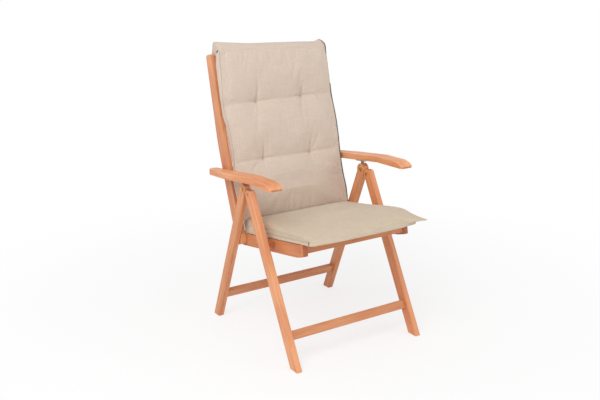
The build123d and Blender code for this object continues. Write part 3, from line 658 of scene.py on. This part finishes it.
# %% [markdown]
# ## The form of the seat pad
# It is bent from a box like the back pad. Its front edge runs in a curve, its top is the lowest
# of two: the crowned brim, and a slope that falls to the thin front edge. The rear end leans
# over to the line of the fold.

# %% Bend the box into the seat pad
def seat_front(side):
    """How far forward the pad goes: its corners are drawn back."""
    return 0.505 - 0.029 * np.abs(side) ** 5


def seat_bend(u, v, w):
    """The box bent into the seat pad: u across, v towards the front, w upwards."""
    side = 2 * u - 1
    turn = (math.pi - seat_rise) - crease_heading
    foot = seat_low / math.tan(turn)
    rear_reach = foot + w * (lip * math.cos(turn) - foot)
    rear_height = seat_low + w * (lip * math.sin(turn) - seat_low)
    tip = seat_front(side) - 0.009 * w
    reach = rear_reach + v * (tip - rear_reach)
    brim = (1 - u) * np.interp(reach, brim_reach, brim_left)
    brim = brim + u * np.interp(reach, brim_reach, brim_right)
    crown = 0.0095 * (1 - np.abs(side) ** 2.4) * np.clip((tip - reach) / 0.09, 0, 1) ** 0.7
    crown = crown * eased(reach, 0.02, 0.16)
    slope = np.interp(tip - reach, (0.0, 0.03, 0.07, 0.12), (0.051, 0.066, 0.083, 0.3))
    height = seat_low + w * (np.minimum(brim + crown, slope) - seat_low)
    near = np.clip(1 - v / 0.12, 0, 1) ** 2
    height = height * (1 - near) + rear_height * near
    x = side * (0.2365 + 0.004 * np.sin(math.pi * np.clip(v, 0, 1)) * np.sin(math.pi * w))
    y, z = on_seat(reach, height)
    return np.stack([x, y, z], 1)


seat_form = boxed("seat_pad", seat_bend, (60, 64, 8))

# %% [markdown]
# ## Stuffing the pads
# Padding pushes a cover outwards until the cloth is tight, which leaves the small puckers that
# make it look sewn. Sculpting them by hand takes long. Here a copy of the form gets even small
# faces and is inflated as cloth for some frames: points at the tufts, at the seams and on what
# the pad rests on are held. How far any point may move is limited, so the pad stays in place.

# %% Points of a mesh, and faces of one size
def points_of(mesh):
    """A mesh's points as an array."""
    places = np.empty(len(mesh.vertices) * 3)
    mesh.vertices.foreach_get("co", places)
    return places.reshape(-1, 3)


def move_points(mesh, places):
    """Put a mesh's points in new places."""
    mesh.vertices.foreach_set("co", np.asarray(places, float).ravel())
    mesh.update()


def smooth(mesh):
    """Shade a mesh's faces as one soft surface."""
    mesh.polygons.foreach_set("use_smooth", [True] * len(mesh.polygons))


def as_modified(piece):
    """A new mesh of a piece as its modifiers show it."""
    return bpy.data.meshes.new_from_object(
        piece.evaluated_get(bpy.context.evaluated_depsgraph_get()))


def applied(piece, kind, **settings):
    """Replace a piece's mesh by what one modifier makes of it."""
    change = piece.modifiers.new(kind.lower(), kind)
    for name, value in settings.items():
        setattr(change, name, value)
    mesh = as_modified(piece)
    piece.modifiers.remove(change)
    piece.data = mesh


for form in (back_form, seat_form):
    applied(form, "REMESH", mode="VOXEL", voxel_size=0.005)
    print(form.name, "now has", len(form.data.vertices), "points, all about 5 mm apart")

# %% [markdown] ## Blowing up the cloth The cloth is stiff along its threads, bends easily and has
# a little slack, so the pressure makes it tight with small puckers. Twenty frames are enough for
# it to settle.

# %% Inflate a form
frames = 20


def inflated(form, held, push=4.0, slack=0.006):
    """How far each point of a form moves when it is stuffed. held says how firmly each stays."""
    start = points_of(form.data)
    weights = np.round(held(start), 1)
    group = form.vertex_groups.new(name="held")
    for level in np.unique(weights[weights > 0]):
        group.add(np.nonzero(weights == level)[0].tolist(), float(level), "REPLACE")
    sewn = form.modifiers.new("stuffing", "CLOTH")
    cover = sewn.settings
    cover.quality, cover.mass = 6, 0.25
    cover.tension_stiffness = cover.compression_stiffness = 14
    cover.shear_stiffness, cover.bending_stiffness = 5, 1.2
    cover.use_pressure, cover.uniform_pressure_force = True, push
    cover.shrink_min, cover.vertex_group_mass = -slack, "held"
    cover.effector_weights.gravity = 0.0
    sewn.point_cache.frame_start, sewn.point_cache.frame_end = 1, frames
    for moment in range(1, frames + 1):
        bpy.context.scene.frame_set(moment)
    swollen = form.evaluated_get(bpy.context.evaluated_depsgraph_get())
    shift = points_of(swollen.data) - start
    form.modifiers.remove(sewn)
    bpy.context.scene.frame_set(1)
    return shift


def stuffed(form, held, cap=0.012):
    """Inflate a form, let no point move further than cap, and make its faces finer."""
    start = points_of(form.data)
    shift = inflated(form, held)
    size = np.linalg.norm(shift, axis=1, keepdims=True)
    move_points(form.data, start + shift * np.minimum(1, cap / np.maximum(size, 1e-9)))
    print(form.name, "moved at most", round(float(size.max()), 4), "before the limit")
    applied(form, "SUBSURF", levels=1)
    smooth(form.data)


print("the cloth is blown up for", frames, "frames, or not at all in a quick run")

# %% [markdown]
# ## From the chair back to the cushion
# To say which points are held, each point of the pad has to be found again on the cushion's own
# lines. On the seat's straight line this is a turn. The back's line is bent, so the place is
# guessed and then mended a few times by what is left over.

# %% From places in the chair to places on the cushion
def lean_at(reach):
    """The back's lean at a height."""
    return np.interp(reach, [knee_start, knee_end], [low_lean, top_lean])


def back_place(places):
    """Reach up the back's line and distance in front of it, for points in the chair."""
    reach = (places[:, 2] - hinge[1]) / math.cos(low_lean)
    for _ in range(8):
        y, z = on_back(reach, 0.0)
        lean = lean_at(reach)
        gap_y, gap_z = places[:, 1] - y, places[:, 2] - z
        reach = reach + gap_y * np.sin(lean) + gap_z * np.cos(lean)
    return reach, -gap_y * np.cos(lean) + gap_z * np.sin(lean)


def seat_place(places):
    """Reach along the seat's line and height above it, for points in the chair."""
    y, z = hinge[0] - places[:, 1], places[:, 2] - hinge[1]
    return (y * math.cos(seat_rise) + z * math.sin(seat_rise),
            -y * math.sin(seat_rise) + z * math.cos(seat_rise))


top_point = np.array([[0.0, *on_back(0.7, 0.05)]])
print("the way there and back gives", [round(float(x[0]), 4) for x in back_place(top_point)])

# %% [markdown]
# ## What is held while the pads swell
# The rear lies on the slats and can't move, the tufts are tied through, the rows are stitched,
# and the sewn edges are stiffer than the rest. Each gets a weight from 0 to 1, where 1 is fixed.
# A weight a little below 1 lets an edge give, which keeps it from looking cut with a knife.

# %% Hold the seams and stuff both pads
def back_held(places):
    """How firmly each point of the back pad is held."""
    reach, front = back_place(places)
    x = places[:, 0]
    side = np.abs(x) / side_limit(x, reach, front)
    edge = np.where(x < 0, np.interp(reach, edge_reach, edge_left),
                    np.interp(reach, edge_reach, edge_right))
    sewn_through = front > back_rear + 0.01
    hold = np.zeros(len(places))
    hold[(side > 0.965) & (front > edge - 0.007)] = 0.8
    for row in rows:
        hold[(np.abs(reach - row) < 0.004) & sewn_through & (hold < 0.5)] = 0.5
    hold[front < back_rear + 0.004] = 1.0
    for tuft_x, tuft_reach in tufts:
        hold[(np.hypot(x - tuft_x, reach - tuft_reach) < 0.007) & sewn_through] = 1.0
    hold[reach > front_top(x) - 0.004] = 1.0
    return hold


def seat_held(places):
    """How firmly each point of the seat pad is held."""
    reach, height = seat_place(places)
    side = places[:, 0] / pad_half
    brim = np.where(side < 0, np.interp(reach, brim_reach, brim_left),
                    np.interp(reach, brim_reach, brim_right))
    hold = np.zeros(len(places))
    hold[(np.abs(side) > 0.965) & (height > brim - 0.007)] = 0.8
    hold[(reach < 0.05) & (hold < 0.6)] = 0.6
    hold[height < seat_low + 0.005] = 1.0
    hold[reach > seat_front(side) - 0.012] = 0.9
    return hold


stuffed(back_form, back_held)
stuffed(seat_form, seat_held)
print("the pads have", len(back_form.data.polygons), "and", len(seat_form.data.polygons), "faces")

# %% [markdown]
# ## Tufts and rows
# Inflating rounds everything off, so what is sharp comes last. Each point of the back pad is
# pushed in by a sum of narrow troughs: one along each row, a short upright one at each tuft with
# a pit in its middle, and some folds where cloth is gathered. A trough is a bell curve of the
# distance to a line, which costs nothing and can be moved about by changing two numbers.

# %% How deep the tufts and rows are
fold_turns = (-0.9, 0.9, 2.2, 3.9)


def bell(distance, width):
    """1 on a line and nearly 0 where it is two widths away."""
    return np.exp(-(distance / width) ** 2)


def tuft_depth(x, reach, tuft_x, tuft_reach):
    """A tuft: its upright crease, its pit and the folds round it."""
    aside, upward = x - tuft_x, reach - tuft_reach
    deep = 0.0078 * bell(aside - 0.10 * upward, 0.0055) * bell(upward - 0.014, 0.030)
    deep += 0.0030 * bell(aside, 0.016) * bell(upward, 0.008)
    for turn in fold_turns:
        way = aside * math.cos(turn) + upward * math.sin(turn)
        off = upward * math.cos(turn) - aside * math.sin(turn)
        deep += 0.0016 * bell(off, 0.0045) * bell(way - 0.020, 0.016)
    return deep


def row_depth(x, reach, row, ends):
    """A row: a fine line from side to side through its two tufts, deeper near them."""
    line = reach - np.interp(x, (-0.24, ends[0][0], ends[1][0], 0.24),
                             (row - 0.004, ends[0][1], ends[1][1], row + 0.004))
    near = sum(bell(x - tuft_x, 0.045) for tuft_x, _ in ends)
    return (0.0006 + 0.0032 * near) * bell(line, 0.0060)


print("a tuft is", round(float(tuft_depth(0.0, 0.0, 0.0, 0.0)), 4), "m deep in its middle")

# %% [markdown]
# ## Pressing the details into the back pad
# The stuffing has moved the pad's sides and rear a little, which a real cushion couldn't do: the
# uprights and the slats are in the way. So once the details are in, points that went behind the
# slats' face come forward again, and the sides are brought to the width that the uprights leave.

# %% Details of the back pad
def detail_back(form):
    """Press rows and tufts in, then fit the pad between the uprights and on the slats."""
    places = points_of(form.data)
    reach, front = back_place(places)
    x = places[:, 0]
    deep = sum(row_depth(x, reach, row, ends) for row, ends in zip(rows, (tufts[:2], tufts[2:])))
    deep = deep + sum(tuft_depth(x, reach, *tuft) for tuft in tufts)
    deep *= eased(front, back_rear + 0.012, back_rear + 0.02)
    lean = lean_at(reach)
    places[:, 1] += deep * np.cos(lean)
    places[:, 2] -= deep * np.sin(lean)
    reach, front = back_place(places)
    behind = np.maximum(back_rear - front, 0)
    places[:, 1] -= behind * np.cos(lean)
    places[:, 2] += behind * np.sin(lean)
    limit = side_limit(x, reach, front)
    outward = eased(limit - np.abs(x), 0.020, 0.006) * eased(front, 0.0352, 0.0375)
    wide = np.abs(x) + outward * np.maximum(limit - np.abs(x), 0)
    places[:, 0] = np.sign(x) * np.minimum(wide, limit)
    move_points(form.data, places)
    print(form.name, "is pressed in by at most", round(float(deep.max()), 4))


detail_back(back_form)

# %% [markdown]
# ## Folds at the side of the seat pad
# The near side of the seat shows two long folds under its brim, and short ones that fan out from
# its front corner, where the cover was sewn together. The long ones are pressed in sideways and
# the fan downwards.

# %% Folds of the seat pad
corner_x, corner_reach = -0.236, 0.470
long_folds = (((0.10, 0.066), (0.46, 0.050), 0.0050), ((0.12, 0.047), (0.45, 0.037), 0.0058))
fan_folds = ((0.35, 0.045, 0.0022), (0.85, 0.055, 0.0026), (1.35, 0.050, 0.0022),
             (1.85, 0.040, 0.0018))


def side_folds(x, reach, height):
    """The long folds: from where to where they run, and how deep."""
    deep = np.zeros(len(x))
    for start, end, depth in long_folds:
        line = height - np.interp(reach, (start[0], end[0]), (start[1], end[1]))
        deep += depth * bell(line, 0.0042) * eased(reach, 0.06, 0.14)
    return deep * (1 - eased(x, corner_x, -0.212))


def corner_folds(x, reach):
    """The fan at the corner: each fold's heading, length and depth."""
    inward, rearward = x - corner_x, corner_reach - reach
    deep = np.zeros(len(x))
    for heading, far, depth in fan_folds:
        along = inward * math.sin(heading) + rearward * math.cos(heading)
        off = inward * math.cos(heading) - rearward * math.sin(heading)
        ends = eased(along, 0.0, 0.012) * (1 - eased(along, 0.4 * far, far))
        deep += depth * bell(off, 0.003 + 0.06 * np.clip(along, 0, 1)) * ends
    return deep


print("the seat pad gets", len(long_folds), "long folds and", len(fan_folds), "at its corner")

# %% [markdown]
# ## The drawn-out corner
# The other front corner of the seat is pulled out to a thin tip, like the corner of a pillow case
# that isn't filled. Its top points are drawn forward, outward and down to the tip, the more the
# nearer they are to the corner.

# %% Details of the seat pad
tip_height = 0.0425


def detail_seat(form):
    """Press the folds in and draw the far corner out."""
    places = points_of(form.data)
    reach, height = seat_place(places)
    x = places[:, 0].copy()
    sideways = side_folds(x, reach, height)
    deep = sideways + corner_folds(x, reach)
    downward = deep * eased(height, 0.036, 0.046)
    places[:, 0] += sideways
    places[:, 1] -= downward * math.sin(seat_rise)
    places[:, 2] -= downward * math.cos(seat_rise)
    reach, height = seat_place(places)
    corner = eased(places[:, 0], 0.165, pad_half) ** 1.6 * eased(height, 0.031, 0.041)
    pull = corner * np.clip((reach - 0.425) / 0.050, 0, 1.1)
    reach = reach + 0.064 * pull
    height = np.maximum(height + 0.85 * pull * (tip_height - height), seat_low)
    places[:, 0] = np.clip(places[:, 0] + 0.011 * pull, -0.2395, 0.2490)
    places[:, 1], places[:, 2] = on_seat(reach, height)
    move_points(form.data, places)
    print(form.name, "is pressed in by at most", round(float(deep.max()), 4))


detail_seat(seat_form)

# %% [markdown]
# ## Where back and seat meet
# Both pads end in one fold over the hinge of the back. Each pad's place is baked into its
# mesh, and so is the place of each seam that is given a side of the fold.

# %% Bake the cushion's places, and what it stands for
crease_way = np.array([math.cos(crease_heading), math.sin(crease_heading)])
into_back = np.array([0.0, crease_way[1], -crease_way[0]])
crease_point = np.array([0.0, *(hinge + 0.05 * crease_way)])
fold_reach = 0.052


def follows(piece, turn):
    """Bake a piece's place into its mesh; turn (1 for the back's side of the fold, -1 for the seat's) has no
    effect.
    """
    tuple(crease_point + turn * fold_reach * into_back)
    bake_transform(piece)


for form, finish, node, body, turn in (
    (back_form, back_cloth, "back_cushion", "backrest", 1.0),
    (seat_form, seat_cloth, "seat_cushion", "seat", -1.0),
):
    form.data.materials.clear()
    form.data.materials.append(finish)
    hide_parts(node)
    follows(form, turn)
    print(form.name, "stands for", node, "and bends at the fold")

# %% [markdown]
# ## The hood
# A flap of the same cloth is sewn to the top edge of the back pad. It goes over the top of the
# back and hangs behind it, which keeps the cushion from sliding down. It could be draped by a
# cloth simulation, but it is stretched so tight that a drawn line does as well: some knots, made
# smooth by averaging each point with its neighbours again and again.

# %% The hood's line over the top
hood_half = 0.2377
hood_rows, hood_columns, gusset_rows = 72, 56, 6


def hood_line(x):
    """Forward and reach of points over the top of the back, from front to rear."""
    top, front = float(ridge(x)), float(front_top(x))
    edge = float(np.interp(x, (-pad_half, pad_half), (0.073, 0.062)))
    bulge = 0.006 * (1 - (x / 0.24) ** 2)
    tab = 0.010 * float(bell(x - hood_half, 0.012))
    knots = np.array([
        (edge + bulge - 0.004, front - 0.014), (edge + bulge - 0.0025, front - 0.004),
        (edge + bulge - 0.006, front + 0.006), (edge - 0.022, front + 0.6 * (top - front) + tab),
        (edge - 0.038, top - 0.002 + tab), (0.016, top), (0.007, top - 0.006),
        (-0.0010, top - 0.026), (-0.0170, 0.712), (-0.0203, 0.694), (-0.0203, 0.650),
        (-0.0203, 0.575),
    ])
    step = np.concatenate([[0], np.cumsum(np.hypot(*np.diff(knots, axis=0).T))])
    dense = np.linspace(0, step[-1], 400)
    line = np.stack([np.interp(dense, step, knots[:, k]) for k in (0, 1)], 1)
    for _ in range(30):
        line[1:-1] = 0.25 * line[:-2] + 0.5 * line[1:-1] + 0.25 * line[2:]
    return line[np.linspace(0, 399, hood_rows + 1).round().astype(int)]


hood_sides = np.linspace(-hood_half, hood_half, hood_columns + 1)
hood_lines = [hood_line(x) for x in hood_sides]

# %% [markdown]
# ## A grid of cloth
# The sheet is a grid: one line over the top for each place across. It is one layer of faces, as
# flat cloth is, and gets its thickness at the end.

# %% Points and faces of the hood
hood_wide = hood_columns + 1
hood_places, hood_faces = [], []
for row in range(hood_rows + 1):
    for x, line in zip(hood_sides, hood_lines):
        y, z = on_back(line[row][1], line[row][0])
        hood_places.append((x, float(y), float(z)))
for row in range(hood_rows):
    for column in range(hood_columns):
        first = row * hood_wide + column
        hood_faces.append((first, first + 1, first + hood_wide + 1, first + hood_wide))
print("the hood's grid has", len(hood_faces), "faces")

# %% [markdown]
# ## Gussets at the sides
# A flat sheet laid over a thick pad gapes at the sides, so a small gusset closes each corner. It
# is another grid, between the edge of the flap and a slanting hem, and shares the edge's points,
# so that the sheet stays in one piece.

# %% Close both sides of the hood
def gusset(column, way):
    """Faces from one edge of the hood inwards to its hem, on the side that way gives."""
    line = hood_lines[column]
    last = int(np.argmin(np.abs(line[:, 1] - 0.672) + (line[:, 0] > 0)))
    hem = np.array([line[0], (0.040, 0.7290), (0.0084, 0.6960), line[last]])
    hem_share = (0.0, 0.34, 0.66, 1.0)
    before = [row * hood_wide + column for row in range(last + 1)]
    for k in range(1, gusset_rows + 1):
        now = []
        for row, share in enumerate(np.linspace(0, 1, last + 1)):
            low = np.array([np.interp(share, hem_share, hem[:, a]) for a in (0, 1)])
            forward, reach = line[row] + (low - line[row]) * k / gusset_rows
            x = way * (side_limit(way, reach, forward) + 0.0006)
            x = way * min(abs(x), 0.2386) if forward < 0.036 else x
            y, z = on_back(reach, forward)
            now.append(len(hood_places))
            hood_places.append((x, float(y), float(z)))
        for row in range(last):
            quad = (before[row], before[row + 1], now[row + 1], now[row])
            hood_faces.append(quad if way < 0 else quad[::-1])
        before = now
    return last


for column, way in ((0, -1), (hood_columns, 1)):
    print("a gusset closes the first", gusset(column, way), "rows of side", way)

# %% [markdown]
# ## Laying the front of the hood on the pad
# The stuffing has given the pad bumps that the drawn line doesn't know. So the first rows of the
# hood are moved to the nearest place of the pad's surface, and the very first a little into it,
# as if it were sewn there. A tree of the pad's faces finds such a place quickly.

# %% Lay the first rows on the pad
def surface_of(piece):
    """A piece's surface, on which the nearest place to a point can be looked up."""
    return BVHTree.FromPolygons([v.co for v in piece.data.vertices],
                                [p.vertices for p in piece.data.polygons])


pad_surface = surface_of(back_form)
laid_rows = 11
for index in range(laid_rows * hood_wide):
    row = index // hood_wide
    spot, normal = pad_surface.find_nearest(Vector(hood_places[index]))[:2]
    lift = float(np.interp(row, (0, 3), (-0.0018, 0.0010)))
    share = float(eased(row, 4, 10))
    hood_places[index] = tuple((1 - share) * np.array(spot + normal * lift)
                               + share * np.array(hood_places[index]))
print(laid_rows, "rows of the hood lie on the pad")

# %% [markdown]
# ## The hood as a piece
# The finished sheet rides on the back and stands for the plain solid of the chair's drawing. It
# is as wide as the back with a gusset at each side, and as long as its line over the top. A
# modifier gives it the thickness of cloth.

# %% Make the hood
hood_mesh = bpy.data.meshes.new("cushion_flap")
hood_mesh.from_pydata(hood_places, [], hood_faces)
hood_mesh.materials.append(back_cloth)
smooth(hood_mesh)
hood = bpy.data.objects.new("cushion_flap", hood_mesh)
bpy.context.scene.collection.objects.link(hood)
thick = hood.modifiers.new("thickness", "SOLIDIFY")
thick.thickness, thick.offset = 0.0014, 0.0
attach(hood, "backrest")
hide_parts("cushion_hood")

# %% [markdown]
# ## Sewn edges
# A seam shows as a fine raised line, a thin tube along a smooth curve. The welts are tinted
# darker, which is painted shade along the seam, and some lines are nearly black. The points of
# each are first given roughly, and each is then moved onto the nearest place of the pad, so the seam can't float
# or sink.

# %% A seam
def tube(name, points, radius):
    """Mesh of a thin round tube along a smooth curve through points."""
    curve = bpy.data.curves.new(name, "CURVE")
    curve.dimensions = "3D"
    curve.bevel_depth, curve.bevel_resolution, curve.use_fill_caps = radius, 2, True
    spline = curve.splines.new("NURBS")
    spline.points.add(len(points) - 1)
    for knot, point in zip(spline.points, points):
        knot.co = (*point, 1.0)
    spline.order_u, spline.use_endpoint_u = 3, True
    drawn = bpy.data.objects.new(name + "_line", curve)
    bpy.context.scene.collection.objects.link(drawn)
    mesh = as_modified(drawn)
    bpy.data.objects.remove(drawn)
    return mesh


def seam(name, surface, points, radius, finish, body, turn=None):
    """Tube along points, laid on a surface if one is given."""
    spots = [Vector(point) for point in points]
    if surface:
        nearest = [surface.find_nearest(spot)[:2] for spot in spots]
        spots = [spot + normal * radius * 0.35 for spot, normal in nearest]
    mesh = tube(name, spots, radius)
    smooth(mesh)
    mesh.materials.clear()
    mesh.materials.append(finish)
    piece = bpy.data.objects.new(name, mesh)
    bpy.context.scene.collection.objects.link(piece)
    if turn is None:
        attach(piece, body)
    else:
        follows(piece, turn)
    print(name, "follows", len(points), "points")


thick_thread, fine_thread = 0.0023, 0.0012
print("seams are", 2 * thick_thread, "or", 2 * fine_thread, "m thick")

# %% [markdown]
# ## Seams down the back pad
# One runs along each front edge of the back pad. On the right a nearly black tube runs along the
# edge, and near the top a welt of the cover takes its place. On the left only the welt of the
# cover shows. Each welt is tinted darker, which is painted shade along the seam.

# %% Seams of the back pad
def back_edge(side, low, high, count):
    """Points along a front edge of the back pad, some way beside it."""
    table = edge_left if side < 0 else edge_right
    points = []
    for reach in np.linspace(low, high, count):
        forward = float(np.interp(reach, edge_reach, table)) + 0.011
        y, z = on_back(reach, forward)
        points.append((side * beside, float(y), float(z)))
    return points


beside = 0.272
seam("seam_back_right", pad_surface, back_edge(1, 0.085, 0.565, 24), thick_thread, dark_line_and_painted_shade,
     "backrest", 1.0)
seam("seam_back_right_upper", pad_surface, back_edge(1, 0.565, 0.700, 8), fine_thread, welt_with_painted_shade,
     "backrest")
seam("seam_back_left", pad_surface, back_edge(-1, 0.085, 0.722, 30), fine_thread, welt_with_painted_shade,
     "backrest", 1.0)

# %% [markdown]
# ## Dark lines at the hood's sides
# A nearly black tube runs along each side of the hood. The right one is seen against the white
# background and follows the corner in a bow, so it is drawn by its own points. The left one lies
# on the gusset along its fold with the pad, as painted shade of that fold, laid on the hood's surface.

# %% Dark lines of the hood
def hood_edge(side, knots, x_place=None):
    """Points along an edge of the hood, given by how far forward and how far up they are."""
    points = []
    for forward, reach in knots:
        y, z = on_back(reach, forward)
        x = x_place or min(float(side_limit(side, reach, forward)), 0.2405) + 0.0012
        points.append((side * x, float(y), float(z)))
    return points


seam("hood_edge_right", None, hood_edge(1, (
    (0.014, 0.7430), (0.027, 0.7490), (0.042, 0.7420), (0.060, 0.7280), (0.0645, 0.7150),
    (0.0630, 0.7000), (0.0620, 0.6840))), 0.0018, dark_line_and_painted_shade, "backrest")
seam("hood_edge_left", surface_of(hood), hood_edge(-1, (
    (0.0650, 0.7350), (0.0610, 0.7270), (0.0560, 0.7190), (0.0500, 0.7110), (0.0430, 0.7030),
    (0.0340, 0.6950)), beside), 0.0019, dark_line_and_painted_shade, "backrest")

# %% [markdown]
# ## A dark line at the seat's corner
# A short, nearly black upright line is drawn at the near front corner of the seat pad.

# %% Dark line at the corner of the seat
corner_dark_line = [(-0.262, *(float(c) for c in on_seat(reach, height)))
                 for reach, height in ((0.4655, 0.0290), (0.4710, 0.0360), (0.4760, 0.0470))]
seam("seat_corner_stitch", surface_of(seat_form), corner_dark_line, 0.0010, dark_line_and_painted_shade, "seat")

# %% [markdown]
# ## Floor
# A product picture has no horizon: floor and background are the same white. The floor is a large
# pale plane that fades to pure white away from the chair, and near it stays a real surface that
# can carry a soft shadow. The fade is only for what looks at the floor directly. For all other
# light it stays plain paper.

# %% White paper under the chair
floor_half = 14.0
corners = [(x, y, 0) for x, y in ((-1, -1), (1, -1), (1, 1), (-1, 1))]
floor_mesh = bpy.data.meshes.new("floor")
floor_mesh.from_pydata([(floor_half * x, floor_half * y, z) for x, y, z in corners], [],
                       [(0, 1, 2, 3)])
floor = bpy.data.objects.new("floor", floor_mesh)
bpy.context.scene.collection.objects.link(floor)
paper = Finish("white_paper", Roughness=0.9, Specular_IOR_Level=0.1)
paper.surface("Base Color", shade(0.975, 0.975, 0.975))
far = paper.put("ShaderNodeVectorMath", {"operation": "LENGTH"}, {0: paper.place()}, 1)
fade = paper.between(far, 0.5, 2.0, 0.72, 1.0)
glow = paper.put("ShaderNodeEmission", (), {"Color": (1.0, 1.0, 1.0), "Strength": 1.0})
mixed = paper.put("ShaderNodeMixShader", (), {0: fade * paper.seen_directly(),
                  1: Wire(paper, paper.shader.outputs[0]), 2: glow})
paper.feed(paper.tree.nodes["Material Output"].inputs["Surface"], mixed)
floor.data.materials.append(paper.material)
print("the floor is", 2 * floor_half, "m wide")

# %% [markdown]
# ## Lamps
# Photographers light pale cloth with large soft boxes, because a small lamp gives hard shadows.
# A big one from the upper left is the main light, and a weaker one from the right opens the
# shadows, without clipping the pale cloth.

# %% Two soft boxes
def lamp(name, place, size, power):
    """Square soft box that shines at the middle of the chair."""
    light = bpy.data.lights.new(name, "AREA")
    light.shape, light.size, light.energy = "SQUARE", size, power
    body = bpy.data.objects.new(name, light)
    body.location = place
    aim = Vector((0, 0, 0.5)) - Vector(place)
    body.rotation_euler = aim.to_track_quat("-Z", "Y").to_euler()
    bpy.context.scene.collection.objects.link(body)
    print(name, "stands", round(aim.length, 2), "m from the chair and has", power, "W")


lamp("key_light", (-2.2, -1.4, 3.0), 2.2, 62)
lamp("fill_light", (2.4, -2.6, 1.8), 2.4, 16)

# %% [markdown]
# ## The world
# The world gives the even light of a white room. Looked at directly it is pure white, as strong
# as the background of the picture, and as a light it is weaker, so that the shapes keep their
# shading.

# %% Light from all round
room_light = 0.66
world = bpy.data.worlds.new("studio")
bpy.context.scene.world = world
sky = Nodes(world)
backdrop = sky.tree.nodes["Background"]
sky.feed(backdrop.inputs["Color"], (1.0, 1.0, 1.0))
sky.feed(backdrop.inputs["Strength"], sky.seen_directly() * (1 - room_light) + room_light)
bpy.context.scene.view_settings.view_transform = "Standard"
print("the room's light is", room_light, "of white")

# %% [markdown]
